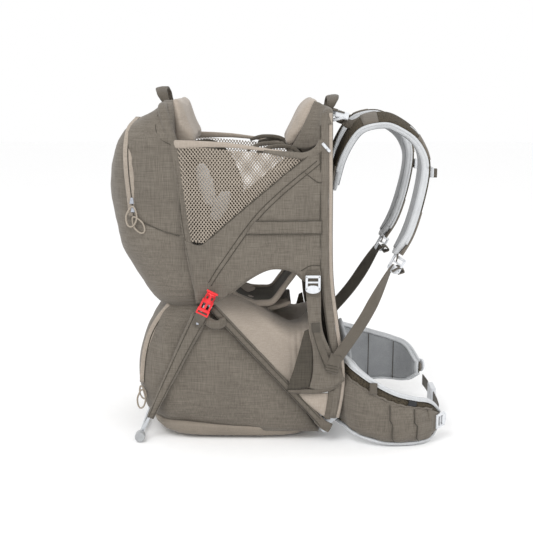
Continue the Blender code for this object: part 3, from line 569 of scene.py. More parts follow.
lower_zip = [boot_side(x, z, 0.0008) for x, z in
             ((-0.145, 0.272), (-0.167, 0.245), (-0.185, 0.212), (-0.1960, 0.172), (-0.2015, 0.130),
              (-0.2025, 0.112))]
zip_run("lower_zip", even_line(lower_zip, 40), "folding", "lower_zip_track")
zip_pull("lower", boot_side(-0.2075, 0.120, 0.004), 0.1,
         ((-0.002, -0.044, 0.0085, 0.020, 0.10), (0.001, -0.030, 0.0065, 0.014, -0.25)),
         "lower_slider", "lower_zip_slider", folds=True)

for hand, sign in (("right", -1), ("left", 1)):
    diagonal = [BASE.lerp(CROSS, t) for t in (0.02, 0.25, 0.5, 0.75, 0.96)]
    path = even_line([Vector((p.x + 0.001, sign * 0.1515, p.z + 0.001)) for p in diagonal], 30)
    leg_sleeve = sweep("hoop_leg_sleeve_" + hand, path, oval(0.0165, 0.0150, 14, 0.8), (0.7, 0, 0.7))
    crumple(leg_sleeve, 0.0008, 0.02, 9)
    fit_out(leg_sleeve, SLEEVE_CLOTH, "hoop")
    # The seams' dark cloth paints their shadow lines.
    for k, off in enumerate((-0.0052, 0.0052)):
        line = [p + Vector((0.74 * off, sign * 0.0072, 0.67 * off)) for p in path]
        fit_out(sweep("hoop_leg_seam_%d_%s" % (k, hand), line, oval(0.0016, 0.0014, 6, 1.0), (1, 0, 0.1)),
                SHADE_CLOTH, "hoop")
    cap = sweep("base_cap_" + hand, even_line([Vector((0.146, sign * 0.1525, 0.049)), Vector((0.158, sign * 0.1560, 0.038)),
                                               Vector((0.172, sign * 0.1560, 0.030))], 16),
                oval(0.0200, 0.0100, 14, 0.8), (0, 0, 1))
    fit_out(cap, SLEEVE_CLOTH, "carrier")
    kick_path = even_line([Vector((x, sign * y, z)) for x, y, z in
                           ((-0.084, 0.1540, 0.262), (-0.120, 0.1535, 0.190),
                            (-0.155, 0.1525, 0.118), (-0.187, 0.1480, 0.050))], 26)
    kick_sleeve = sweep("kick_sleeve_" + hand, kick_path, oval(0.034, 0.0085, 14, 0.7), (1, 0, 0.4),
                        grow=lambda t: 1.0 - 0.60 * t)
    crumple(kick_sleeve, 0.0010, 0.02, 10)
    fit_out(kick_sleeve, PACK_CLOTH, "kickstand")
    # The seams' dark cloth paints their shadow lines.
    for k, off in enumerate((-0.36, 0.36)):
        line = [p + Vector((0.034 * off * (1 - 0.6 * i / 25), sign * 0.0042, 0.0)) for i, p in enumerate(kick_path)]
        fit_out(sweep("kick_sleeve_seam_%d_%s" % (k, hand), line, oval(0.0016, 0.0014, 6, 1.0), (1, 0, 0.1)),
                SHADE_CLOTH, "kickstand")

# ---- Cockpit walls ----
# Each side is a diagonal band of pack cloth from the top of the back frame to the crossing, with a
# mesh window above it, a flat pocket below it and a leg hole cut under that. The rim is bound.


def patch(name, bottom, top, left, right, wide, high, belly=0.0):
    """Smooth sheet between four edge lines; belly bows its middle along Y."""
    low = even_line(bottom, wide)
    up = even_line(top, wide)
    near = even_line(left, high)
    far = even_line(right, high)
    rows = []
    for j in range(high):
        v = j / (high - 1)
        row = []
        for i in range(wide):
            u = i / (wide - 1)
            point = (low[i] * (1 - v) + up[i] * v + near[j] * (1 - u) + far[j] * u
                     - (low[0] * (1 - u) * (1 - v) + low[-1] * u * (1 - v)
                        + up[0] * (1 - u) * v + up[-1] * u * v))
            point.y += belly * math.sin(math.pi * u) * math.sin(math.pi * v)
            row.append(point)
        rows.append(row)
    return skin(name, rows)


def on_side(pairs, y):
    return [Vector((x, y, z)) for x, z in pairs]


def settled(cloth, path, sign, proud):
    """The path laid on a side wall, a given distance outside it."""
    tree = BVHTree.FromPolygons([v.co for v in cloth.data.vertices],
                                [p.vertices for p in cloth.data.polygons])
    laid = []
    for point in path:
        hit = tree.ray_cast(Vector((point.x, sign * 0.3, point.z)), Vector((0, -sign, 0)))[0]
        laid.append(Vector((point.x, (hit.y if hit else point.y) + sign * proud, point.z)))
    return laid


NET_PITCH = 0.0050
NET_YARN = 0.0019
NET_SLOPES = (math.radians(52), math.radians(-52))
WINDOW = ((-0.1275, 0.592), (-0.1115, 0.410), (-0.0745, 0.405), (0.118, 0.570))
NET_CLOTH = heather_cloth("knitted polyester net", "#8f8476", "#b4a99c", 1.0, 3, 0.3, 0.1)


def clip_to(outline, start, way):
    """The two ends of a straight line's stretch inside a convex outline, or None."""
    hits = []
    for (x0, z0), (x1, z1) in zip(outline, outline[1:] + outline[:1]):
        ex, ez = x1 - x0, z1 - z0
        cross = way[0] * ez - way[1] * ex
        if abs(cross) < 1e-9:
            continue
        t = ((x0 - start[0]) * ez - (z0 - start[1]) * ex) / cross
        s = ((x0 - start[0]) * way[1] - (z0 - start[1]) * way[0]) / cross
        if 0 <= s <= 1:
            hits.append(t)
    if len(hits) < 2:
        return None
    return min(hits), max(hits)


def net(name, outline, y, sign):
    """Two families of crossing yarns that fill the outline."""
    bm = bmesh.new()
    middle = (sum(p[0] for p in outline) / len(outline), sum(p[1] for p in outline) / len(outline))
    for family, slope in enumerate(NET_SLOPES):
        way = (math.cos(slope), math.sin(slope))
        side = (-way[1], way[0])
        for k in range(-50, 51):
            start = (middle[0] + side[0] * k * NET_PITCH, middle[1] + side[1] * k * NET_PITCH)
            span = clip_to(list(outline), start, way)
            if span is None or span[1] - span[0] < 0.003:
                continue
            previous = None
            for step in range(6):
                t = span[0] + (span[1] - span[0]) * step / 5
                x = start[0] + way[0] * t
                z = start[1] + way[1] * t
                depth = y - sign * 0.004 * math.sin(math.pi * step / 5)
                level = sign * (0.0006 if family else 0.0)
                ring = []
                for u, v in ((-1, 0), (0, 1), (1, 0), (0, -1)):
                    ring.append(bm.verts.new((x + side[0] * u * NET_YARN / 2,
                                              depth + level + v * 0.0004,
                                              z + side[1] * u * NET_YARN / 2)))
                if previous:
                    for i in range(4):
                        j = (i + 1) % 4
                        bm.faces.new((previous[i], previous[j], ring[j], ring[i]))
                else:
                    bm.faces.new(list(reversed(ring)))
                previous = ring
            bm.faces.new(previous)
    bmesh.ops.recalc_face_normals(bm, faces=bm.faces)
    mesh = bpy.data.meshes.new(name)
    bm.to_mesh(mesh)
    bm.free()
    piece = bpy.data.objects.new(name, mesh)
    bpy.context.scene.collection.objects.link(piece)
    return piece


WINDOW_EDGE = ((-0.1115, 0.411), (-0.090, 0.402), (-0.0745, 0.405), (-0.040, 0.436), (0.040, 0.504),
               (0.110, 0.562), (0.151, 0.590))
LEG_ARCH = ((-0.092, 0.286), (-0.050, 0.291), (-0.028, 0.305), (0.011, 0.336), (0.048, 0.355),
            (0.080, 0.356), (0.103, 0.347), (0.121, 0.332), (0.151, 0.331))
RIM = ((-0.130, 0.598), (-0.061, 0.595), (0.003, 0.589), (0.078, 0.579), (0.118, 0.576),
       (0.140, 0.586), (0.154, 0.603))

for hand, sign in (("right", -1), ("left", 1)):
    window = net("mesh_window_" + hand, WINDOW, sign * (SIDE_Y - 0.001), sign)
    fit_out(window, NET_CLOTH, "between")
    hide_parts("side_mesh_" + hand)

    wall = patch("side_wall_" + hand, on_side(LEG_ARCH, sign * SIDE_Y),
                 on_side(WINDOW_EDGE, sign * SIDE_Y),
                 on_side(((-0.092, 0.286), (-0.100, 0.35), (-0.1115, 0.411)), sign * SIDE_Y),
                 on_side(((0.151, 0.331), (0.151, 0.45), (0.151, 0.590)), sign * SIDE_Y),
                 60, 34, sign * 0.003)
    crumple(wall, 0.0034, 0.050, 11, (1.2, 1, 0.6))
    crumple(wall, 0.0014, 0.018, 12)
    thicken(wall, 0.0022)
    fit_out(wall, PACK_CLOTH, "between")
    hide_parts("side_fabric_" + hand)

    rim_line = even_line(on_side(RIM, sign * (SIDE_Y - 0.001)), 60)
    rim = sweep("rim_binding_" + hand, [p + Vector((0, 0, -0.004 * max(0, 1 - i / 20))) for i, p in
                                        enumerate(rim_line[:42])],
                oval(0.0165, 0.005, 12, 0.8), (0, 0, 1), grow=lambda t: 0.34 + 0.66 * (1 - t) ** 1.6)
    fit_out(rim, LINING_CLOTH, "between")
    front_rim = sweep("rim_front_" + hand, [p + Vector((0, sign * 0.0006, -0.003)) for p in rim_line[34:]],
                      oval(0.0150, 0.006, 12, 0.8), (0, 0, 1), grow=lambda t: 0.45 + 0.75 * t)
    crumple(front_rim, 0.0015, 0.02, 13)
    fit_out(front_rim, PACK_CLOTH, "between")

    for label, line in (("band_edge", ((-0.062, 0.322), (-0.039, 0.358), (0.023, 0.445), (0.076, 0.499), (0.149, 0.560))),
                        ("band_second", ((-0.067, 0.328), (-0.045, 0.364), (0.017, 0.451), (0.070, 0.505),
                                         (0.140, 0.563))),
                        ("gusset_line", ((0.118, 0.540), (0.140, 0.524), (0.149, 0.522))),
                        ("lock_patch", ((0.112, 0.352), (0.130, 0.362), (0.149, 0.362))),
                        ("window_edge", WINDOW_EDGE[2:])):
        path = settled(wall, even_line(on_side(line, sign * SIDE_Y), 40), sign, 0.0003)
        mark = seam_line(label + "_" + hand, path, SHADE_CLOTH, "between")

    hem = patch("pocket_hem_" + hand, on_side(((0.006, 0.4235), (0.150, 0.4235)), sign * (SIDE_Y + 0.003)),
                on_side(((0.024, 0.4495), (0.150, 0.4500)), sign * (SIDE_Y + 0.003)),
                on_side(((0.006, 0.4235), (0.024, 0.4495)), sign * (SIDE_Y + 0.003)),
                on_side(((0.150, 0.4235), (0.150, 0.4500)), sign * (SIDE_Y + 0.003)), 24, 6, sign * 0.001)
    for vert, laid in zip(hem.data.vertices, settled(wall, [v.co.copy() for v in hem.data.vertices], sign, 0.0022)):
        vert.co = laid
    thicken(hem, 0.0022)
    hem_edges = [settled(wall, even_line(on_side(line, sign * SIDE_Y), 30), sign, 0.0034) for line in
                 (((0.006, 0.4240), (0.150, 0.4240)), ((0.024, 0.4490), (0.150, 0.4495)))]
    for k, line in enumerate(hem_edges):
        seam_line("pocket_hem_seam_%d_%s" % (k, hand), line, SHADE_CLOTH, "between", 0.0007)
    fit_out(hem, PACK_CLOTH, "between")

    arch = sweep("leg_binding_" + hand, even_line(on_side(LEG_ARCH[2:], sign * (SIDE_Y - 0.002)), 36),
                 oval(0.007, 0.006, 10, 0.9), (0, 0.4, 1))
    fit_out(arch, SLEEVE_CLOTH, "between")

# ---- Lower bag's roof and the seat ----
# Brushed cloth covers the lower bag from side to side and sags to a valley near the back frame. The
# seat hangs over it as a hammock of pack cloth with a padded rim round each leg opening.
ROOF_RIDGE = ((-0.062, 0.284), (-0.030, 0.272), (0.000, 0.259), (0.030, 0.244), (0.060, 0.224), (0.085, 0.213),
              (0.107, 0.213), (0.125, 0.226), (0.148, 0.250))
for hand, sign in (("right", -1), ("left", 1)):
    edge = sign * 0.1475
    roof = patch("bag_roof_" + hand,
                 [Vector((p.x + 0.006, edge, p.z + 0.005)) for p in
                  (CROSS.lerp(BASE, 0.03), CROSS.lerp(BASE, 0.25), CROSS.lerp(BASE, 0.5),
                   CROSS.lerp(BASE, 0.75), CROSS.lerp(BASE, 0.93))],
                 [Vector((x, 0, z)) for x, z in ROOF_RIDGE],
                 [Vector((-0.062, edge, 0.284)), Vector((-0.064, sign * 0.075, 0.290)), Vector((-0.062, 0, 0.284))],
                 [Vector((0.152, edge, 0.056)), Vector((0.150, edge, 0.150)), Vector((0.147, sign * 0.135, 0.222)),
                  Vector((0.148, 0, 0.250))], 60, 40)
    for vert in roof.data.vertices:
        across = abs(vert.co.y) / 0.1475
        # Cloth hangs full between the seams, and gathers in pleats where it meets the frame.
        vert.co.z += 0.014 * math.sin(math.pi * across) * min(1.0, max(0.0, (0.13 - vert.co.x) / 0.08))
        near = math.exp(-((vert.co.x - 0.118) / 0.022) ** 2)
        vert.co.y += sign * 0.0035 * near * math.sin(vert.co.x * 520 + vert.co.z * 30)
    crumple(roof, 0.0035, 0.06, 14)
    crumple(roof, 0.0010, 0.02, 15)
    thicken(roof, 0.002)
    fit_out(roof, LINING_CLOTH, "folding")
    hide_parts("lower_gusset_" + hand)

SEAT_RIM = ((-0.046, 0.345), (-0.034, 0.306), (-0.016, 0.283), (0.008, 0.270), (0.035, 0.268), (0.058, 0.272),
            (0.078, 0.298), (0.097, 0.324), (0.112, 0.345))
SEAT_HALF = 0.072
rim_path = even_line([Vector((x, 0, z)) for x, z in SEAT_RIM], 50)
hammock_rows = []
for j in range(17):
    t = -1 + j / 8
    hammock_rows.append([Vector((p.x, (SEAT_HALF - 0.002) * t, p.z - 0.008 * (1 - t * t))) for p in rim_path])
hammock = skin("seat_hammock", hammock_rows)
crumple(hammock, 0.002, 0.05, 16)
thicken(hammock, 0.004)
# The hammock's dark cloth is painted shade: it lies deep inside the cockpit.
fit_out(hammock, SHADE_CLOTH, "folding")
for hand, sign in (("right", -1), ("left", 1)):
    cuff = sweep("seat_cuff_" + hand, [p + Vector((0, sign * SEAT_HALF, -0.001)) for p in rim_path],
                 oval(0.0120, 0.0110, 14, 0.9), (0, 0.2, 1), grow=lambda t: 0.45 + 0.65 * math.sin(math.pi * (0.06 + 0.88 * t)) ** 0.6)
    crumple(cuff, 0.0008, 0.02, 17)
    fit_out(cuff, LINING_CLOTH, "folding")

# ---- Seat, lining walls and pads ----
# Foam pads covered in brushed tricot: the seat, a head pad behind the child and a face pad in front.
# Each is sewn round its edge and blown up by its foam, so its faces crown between the seams.


def swell(piece, voxel, cap, pressure=4.0):
    """Blow a pad up as foam does under its cover, moving no point farther than the cap."""
    copy = piece.modifiers.new("voxels", "REMESH")
    copy.mode = "VOXEL"
    copy.voxel_size = voxel
    apply_modifiers(piece)
    start = [v.co.copy() for v in piece.data.vertices]
    cloth = piece.modifiers.new("foam", "CLOTH")
    cloth.settings.quality = 5
    cloth.settings.mass = 0.3
    cloth.settings.tension_stiffness = 12
    cloth.settings.compression_stiffness = 12
    cloth.settings.bending_stiffness = 1.0
    cloth.settings.use_pressure = True
    cloth.settings.uniform_pressure_force = pressure
    cloth.settings.effector_weights.gravity = 0
    scene = bpy.context.scene
    for step in range(1, 21):
        scene.frame_set(step)
    graph = bpy.context.evaluated_depsgraph_get()
    blown = piece.evaluated_get(graph).data
    moved = [v.co.copy() for v in blown.vertices]
    piece.modifiers.clear()
    for vert, old, new in zip(piece.data.vertices, start, moved):
        step = new - old
        if step.length > cap:
            step = step.normalized() * cap
        vert.co = old + step
    scene.frame_set(1)
    finer = piece.modifiers.new("finer", "SUBSURF")
    finer.levels = 1
    finer.render_levels = 1
    apply_modifiers(piece)
    piece.data.shade_smooth()
    return piece


def cushion(name, outline, half, rounding, steps=18):
    """Pad with one outline in X and Z, drawn in towards its two ends."""
    centre = Vector((sum(p[0] for p in outline) / len(outline), 0,
                     sum(p[1] for p in outline) / len(outline)))
    loop = even_line([Vector((x, 0, z)) for x, z in outline + outline[:1]], 33)[:-1]
    rows = []
    for i in range(steps + 1):
        t = -1 + 2 * i / steps
        draw = (1 - abs(t) ** rounding) ** (1 / rounding) if abs(t) < 1 else 0.0
        draw = 0.25 + 0.75 * draw
        rows.append([Vector((centre.x + (p.x - centre.x) * draw, half * t,
                             centre.z + (p.z - centre.z) * draw)) for p in loop])
    return skin(name, rows, around=True, ends=True)


head = cushion("head_pad", [(-0.134, 0.592), (-0.138, 0.650), (-0.135, 0.676), (-0.126, 0.681),
                            (-0.119, 0.664), (-0.107, 0.628), (-0.092, 0.594), (-0.110, 0.588)], 0.120, 6.0)
swell(head, 0.005, 0.004)
crumple(head, 0.0010, 0.05, 21)
fit_out(head, LINING_CLOTH, "hoop")
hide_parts("rear_head_pad")

face = cushion("face_pad", [(0.080, 0.590), (0.097, 0.622), (0.114, 0.656), (0.129, 0.677), (0.142, 0.679),
                            (0.147, 0.662), (0.132, 0.628), (0.108, 0.597), (0.090, 0.582)], 0.100, 5.0)
swell(face, 0.005, 0.004)
fit_out(face, LINING_CLOTH, "carrier")
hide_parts("front_face_pad")

for hand, sign in (("right", -1), ("left", 1)):
    cheek = patch("face_pad_side_" + hand,
                  [Vector((0.094, sign * 0.098, 0.584)), Vector((0.125, sign * 0.115, 0.583)),
                   Vector((0.155, sign * 0.146, 0.600))],
                  [Vector((0.138, sign * 0.094, 0.672)), Vector((0.150, sign * 0.105, 0.668)),
                   Vector((0.160, sign * 0.135, 0.655))],
                  [Vector((0.094, sign * 0.098, 0.584)), Vector((0.116, sign * 0.099, 0.624)),
                   Vector((0.138, sign * 0.094, 0.672))],
                  [Vector((0.155, sign * 0.146, 0.600)), Vector((0.160, sign * 0.144, 0.630)),
                   Vector((0.160, sign * 0.135, 0.655))], 20, 20, sign * 0.004)
    crumple(cheek, 0.0012, 0.03, 24)
    thicken(cheek, 0.003)
    fit_out(cheek, PACK_CLOTH, "carrier")
    for k, (x, z) in enumerate(((0.030, 0.572), (0.048, 0.566))):
        inner_line = [Vector((x - 0.020, sign * 0.152, z + 0.012)), Vector((x + 0.010, sign * 0.120, z + 0.021)),
                      Vector((x + 0.050, sign * 0.105, z + 0.016)), Vector((x + 0.078, sign * 0.110, z - 0.016))]
        bind = sweep("inner_binding_%d_%s" % (k, hand), even_line(inner_line, 24), oval(0.008, 0.004, 10, 0.8),
                     (0, 0, 1))
        fit_out(bind, SLEEVE_CLOTH, "between")

seat_rows = []
for j in range(15):
    x = 0.096 - 0.120 * j / 14
    seat_rows.append([Vector((x, 0.058 * t, 0.252 + 0.016 * (2 * j / 14 - 1) ** 2)) for t in
                      [-1 + i / 8 for i in range(17)]])
seat = thicken(skin("seat_cushion", seat_rows), 0.010)
swell(seat, 0.005, 0.003)
fit_out(seat, LINING_CLOTH, "folding")
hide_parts("seat_pad")

rear_lining = patch("cockpit_rear_lining",
                    [Vector((-0.080, -0.140, 0.300)), Vector((-0.072, 0, 0.290)), Vector((-0.080, 0.140, 0.300))],
                    [Vector((-0.128, -0.145, 0.596)), Vector((-0.118, 0, 0.600)), Vector((-0.128, 0.145, 0.596))],
                    [Vector((-0.080, -0.140, 0.300)), Vector((-0.105, -0.145, 0.410)), Vector((-0.128, -0.145, 0.596))],
                    [Vector((-0.080, 0.140, 0.300)), Vector((-0.105, 0.145, 0.410)), Vector((-0.128, 0.145, 0.596))],
                    24, 24)
crumple(rear_lining, 0.004, 0.06, 23)
thicken(rear_lining, 0.002)
fit_out(rear_lining, PACK_CLOTH, "hoop")

# ---- Back frame sleeves and back panel ----
# The alloy back frame runs in a sleeve of pack cloth up each side. The wearer's side of it is edged
# with brushed cloth, and a panel of spacer mesh is stretched between the two sleeves.
COLUMN = ((0.160, 0.652), (0.162, 0.520), (0.163, 0.410), (0.166, 0.330), (0.177, 0.245), (0.191, 0.150),
          (0.190, 0.100), (0.182, 0.052))

MESH_CLOTH, tree, shader, place = new_material("3-D spacer mesh")
# Real knit holes are 1.5 mm apart; they are drawn 3 mm apart, so that they don't shimmer.
cell = add_node(tree, "ShaderNodeTexVoronoi", None, {"Vector": place, "Scale": 330.0})
edge = add_node(tree, "ShaderNodeMapRange", None,
                {"Value": cell.outputs["Distance"], "From Min": 0.15, "From Max": 0.5})
tint = add_node(tree, "ShaderNodeMix", {"data_type": "RGBA"},
                {0: edge.outputs[0], 6: hex_linear("#211c13"), 7: hex_linear("#453d2f")})
tree.links.new(tint.outputs[2], shader.inputs["Base Color"])
bump = add_node(tree, "ShaderNodeBump", None, {"Height": edge.outputs[0], "Distance": 0.0008})
tree.links.new(bump.outputs[0], shader.inputs["Normal"])
shader.inputs["Roughness"].default_value = 0.9


def column_line(count, forward, y, low=0.0, high=1.0):
    line = even_line([Vector((x + forward, y, z)) for x, z in COLUMN], 80)
    return even_line(line[int(79 * low):int(79 * high) + 1], count)


for hand, sign in (("right", -1), ("left", 1)):
    sleeve = sweep("frame_sleeve_" + hand, column_line(60, -0.0065, sign * 0.1515),
                   oval(0.0170, 0.0165, 16, 0.7), (1, 0, 0))
    crumple(sleeve, 0.0008, 0.03, 31)
    fit_out(sleeve, PACK_CLOTH, "carrier")
    edging = sweep("frame_edging_" + hand, column_line(60, 0.0045, sign * 0.1500),
                   oval(0.0085, 0.0150, 12, 0.8), (1, 0, 0))
    fit_out(edging, LINING_CLOTH, "carrier")
    seam_line("column_seam_" + hand, column_line(24, -0.0150, sign * 0.1580, 0.04, 0.95), SHADE_CLOTH,
              "carrier", 0.0012)

cross = [Vector(p) for p in ((0.1605, -0.1500, 0.630), (0.1610, -0.1470, 0.645), (0.1615, -0.130, 0.6515),
                             (0.1620, -0.06, 0.653), (0.1620, 0.06, 0.653), (0.1615, 0.130, 0.6515),
                             (0.1610, 0.1470, 0.645), (0.1605, 0.1500, 0.630))]
top_sleeve = sweep("frame_top_sleeve", even_line(cross, 80), oval(0.0190, 0.0185, 14, 0.9), (1, 0, 0.1))
crumple(top_sleeve, 0.0010, 0.03, 32)
fit_out(top_sleeve, PACK_CLOTH, "carrier")

rows = []
for point in column_line(40, 0.0, 0.0, 0.02, 0.97):
    rows.append([Vector((point.x + 0.006 * abs(t) ** 3, 0.146 * t, point.z))
                 for t in [-1 + i / 10 for i in range(21)]])
panel = thicken(skin("back_mesh", rows), 0.008)
fit_out(panel, MESH_CLOTH, "carrier")
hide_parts("back_panel")

# ---- Stirrup strap, flap and lower side panels ----
# On each side a strip of pack cloth comes down from the ladder lock and widens to a flap over the
# frame. A narrow webbing runs from a sewn tab back to the shoulder webbing's anchor.


def side_patch(name, bottom, top, left, right, y, belly, cloth, wide=24, high=24, fold=0.0, seed=41):
    made = patch(name, on_side(bottom, y), on_side(top, y), on_side(left, y), on_side(right, y),
                 wide, high, belly)
    if fold:
        crumple(made, fold, 0.04, seed)
    thicken(made, 0.002)
    return fit_out(made, cloth, "carrier")


WEBBING_CLOTH, tree, shader, place = new_material("polyester webbing")
# The ribs of 25 mm webbing are 1.6 mm apart and run at a slant across each face.
slant = add_node(tree, "ShaderNodeMapping", None, {"Vector": place, "Rotation": (0.4, 0.6, 0.5)})
rib = add_node(tree, "ShaderNodeTexWave", {"bands_direction": "Z"},
               {"Vector": slant.outputs[0], "Scale": 190.0, "Distortion": 1.5})
worn = add_node(tree, "ShaderNodeTexNoise", None, {"Vector": place, "Scale": 60.0, "Detail": 4.0})
blend = add_node(tree, "ShaderNodeMath", {"operation": "MULTIPLY"},
                 {0: rib.outputs["Fac"], 1: worn.outputs[0]})
tint = add_node(tree, "ShaderNodeMix", {"data_type": "RGBA"},
                {0: blend.outputs[0], 6: hex_linear("#544d43"), 7: hex_linear("#776f64")})
tree.links.new(tint.outputs[2], shader.inputs["Base Color"])
bump = add_node(tree, "ShaderNodeBump", None, {"Height": rib.outputs["Fac"], "Distance": 0.0006})
tree.links.new(bump.outputs[0], shader.inputs["Normal"])
shader.inputs["Roughness"].default_value = 0.75
shader.inputs["Sheen Weight"].default_value = 0.1

# A darker copy of the webbing: the stirrup tabs' own dark colour, and painted shade on the far side's lower web.
DARK_TAB_AND_SHADED_WEBBING = WEBBING_CLOTH.copy()
DARK_TAB_AND_SHADED_WEBBING.name = "dark tab webbing, also far webbing in painted shade"
for node in DARK_TAB_AND_SHADED_WEBBING.node_tree.nodes:
    if node.type == "MIX":
        node.inputs[6].default_value = hex_linear("#443f37")
        node.inputs[7].default_value = hex_linear("#615a4f")


def strap(name, path, width, across, cloth, body, thickness=0.0022, count=40, grow=None):
    made = sweep(name, even_line(path, count), oval(width, thickness, 12, 0.45), across, grow)
    return fit_out(made, cloth, body)


for hand, sign in (("right", -1), ("left", 1)):
    flap = side_patch("stirrup_flap_" + hand,
                      ((0.130, 0.117), (0.150, 0.111), (0.175, 0.117), (0.199, 0.136)),
                      ((0.121, 0.312), (0.150, 0.312)),
                      ((0.130, 0.117), (0.136, 0.150), (0.1355, 0.195), (0.128, 0.241), (0.121, 0.312)),
                      ((0.199, 0.136), (0.172, 0.190), (0.153, 0.241), (0.150, 0.312)),
                      sign * 0.1625, sign * 0.004, PACK_CLOTH, 26, 40, 0.002)
    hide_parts("stirrup_strap_" + hand)
    # The hem roll's darker sleeve cloth is painted shade on the flap's rolled underside.
    hem = sweep("flap_hem_" + hand, even_line(on_side(
        ((0.087, 0.1095), (0.110, 0.1080), (0.140, 0.1085), (0.172, 0.1150), (0.198, 0.133)),
        sign * 0.1600), 30), oval(0.0090, 0.0080, 12, 0.9), (0, 0, 1), grow=lambda t: 0.25 + 0.9 * math.sin(
            math.pi * (0.12 + 0.8 * t)))
    fit_out(hem, SLEEVE_CLOTH, "carrier")
    # A dark sheet of painted shade, where the stirrup's inner side lies in shadow behind the flap.
    dark = side_patch("painted_shade_gore_" + hand, ((0.085, 0.110), (0.130, 0.117)),
                      ((0.119, 0.232), (0.127, 0.236)), ((0.085, 0.110), (0.103, 0.170), (0.119, 0.232)),
                      ((0.130, 0.117), (0.136, 0.175), (0.127, 0.236)),
                      sign * 0.1600, sign * 0.002, SHADE_CLOTH)
    small = side_patch("lining_gore_" + hand, ((0.161, 0.053), (0.163, 0.055)),
                       ((0.092, 0.106), (0.130, 0.103), (0.170, 0.103)),
                       ((0.161, 0.053), (0.125, 0.080), (0.092, 0.106)),
                       ((0.163, 0.055), (0.168, 0.080), (0.170, 0.103)),
                       sign * 0.1545, sign * 0.003, LINING_CLOTH, fold=0.001)
    far_gore = sweep("gusset_edge_" + hand, even_line(on_side(
        ((0.174, 0.110), (0.172, 0.085), (0.166, 0.050)), sign * 0.1555), 20), oval(0.013, 0.008, 12, 0.8),
        (1, 0, 0))
    fit_out(far_gore, SLEEVE_CLOTH, "carrier")
    strap("stirrup_webbing_" + hand, [Vector((0.139, sign * 0.1665, 0.243)), Vector((0.150, sign * 0.1690, 0.205)),
                                      Vector((0.168, sign * 0.1715, 0.162))], 0.0125, (1, 0, 0.4),
          WEBBING_CLOTH, "carrier", 0.002)
    # A thin dark strip paints the shadow along the webbing's edge.
    strap("stirrup_webbing_edge_" + hand, [Vector((0.133, sign * 0.1662, 0.240)),
                                           Vector((0.144, sign * 0.1685, 0.202)),
                                           Vector((0.161, sign * 0.1710, 0.158))], 0.0022, (1, 0, 0.4),
          SHADE_CLOTH, "carrier", 0.003)
    strap("stirrup_tab_" + hand, [Vector((0.140, sign * 0.1672, 0.2500)), Vector((0.142, sign * 0.1676, 0.2320))],
          0.0170, (1, 0, 0.1), DARK_TAB_AND_SHADED_WEBBING, "carrier", 0.003, 8)
    strap("anchor_tab_" + hand, [Vector((0.183, sign * 0.1715, 0.186)), Vector((0.170, sign * 0.1725, 0.1515))],
          0.0250, (1, 0, -0.35), WEBBING_CLOTH, "carrier", 0.003, 16)
    for k in range(3):
        z = 0.1560 + 0.0055 * k
        seam_line("anchor_stitch_%d_%s" % (k, hand),
                  [Vector((0.160 + 0.001 * k, sign * 0.1742, z + 0.001)), Vector((0.182 + 0.001 * k, sign * 0.1742, z - 0.004)),
                   ], SHADE_CLOTH, "carrier", 0.0005)
    strap("stirrup_loop_" + hand, [Vector((0.134, sign * 0.1620, 0.352)), Vector((0.134, sign * 0.1660, 0.330)),
                                   Vector((0.134, sign * 0.1670, 0.318)), Vector((0.135, sign * 0.1630, 0.300))],
          0.0230, (1, 0, 0), WEBBING_CLOTH, "carrier", 0.0025)

# ---- Ladder locks and buckles ----
# Moulded acetal, satin, with parting edges rounded over. The frame locks are red so that they are
# easy to find. Webbing folds through each bar.


def plastic(name, dark, light, rough):
    made, tree, shader, place = new_material(name)
    swirl = add_node(tree, "ShaderNodeTexNoise", None, {"Vector": place, "Scale": 260.0, "Detail": 3.0})
    tint = add_node(tree, "ShaderNodeMix", {"data_type": "RGBA"},
                    {0: swirl.outputs[0], 6: hex_linear(dark), 7: hex_linear(light)})
    tree.links.new(tint.outputs[2], shader.inputs["Base Color"])
    grain = add_node(tree, "ShaderNodeTexNoise", None, {"Vector": place, "Scale": 1800.0})
    bump = add_node(tree, "ShaderNodeBump", None,
                    {"Height": grain.outputs[0], "Distance": 0.0002, "Strength": 0.4})
    tree.links.new(bump.outputs[0], shader.inputs["Normal"])
    shader.inputs["Roughness"].default_value = rough
    return made


LIGHT_ACETAL = plastic("light grey acetal", "#c6c9cd", "#dddfe2", 0.38)
RED_ACETAL = plastic("red acetal", "#d81f26", "#ea3036", 0.3)
BLACK_ACETAL = plastic("black acetal", "#0f1013", "#1c1d21", 0.4)


def block(name, size, bevel, top=(1, 1), moves=()):
    """Rounded block about the origin; its top face is scaled, then grown by each (up, wide, deep)."""
    bpy.ops.object.select_all(action="DESELECT")
    bpy.ops.mesh.primitive_cube_add(size=1)
    made = bpy.context.object
    made.name = name
    made.data.transform(Matrix.Diagonal((*size, 1)))
    for face in made.data.polygons:
        face.select = face.normal.z > 0.9
    bpy.ops.object.mode_set(mode="EDIT")
    bpy.ops.mesh.select_mode(type="FACE")
    bpy.ops.transform.resize(value=(top[0], top[1], 1), center_override=(0, 0, size[2] / 2))
    height = size[2] / 2
    for up, wide, deep in moves:
        bpy.ops.mesh.extrude_region_move(TRANSFORM_OT_translate={"value": (0, 0, up)})
        height += up
        bpy.ops.transform.resize(value=(wide, deep, 1), center_override=(0, 0, height))
    bpy.ops.object.mode_set(mode="OBJECT")
    if bevel:
        soften = made.modifiers.new("edges", "BEVEL")
        soften.width = bevel
        soften.segments = 3
        apply_modifiers(made)
    made.data.shade_smooth()
    return made


def set_down(piece, turn, cloth, body):
    piece.data.transform(turn)
    piece.data.update()
    return fit_out(piece, cloth, body)


def joined(name, parts):
    bpy.ops.object.select_all(action="DESELECT")
    for part in parts:
        part.select_set(True)
    bpy.context.view_layer.objects.active = parts[0]
    bpy.ops.object.join()
    parts[0].name = name
    return parts[0]


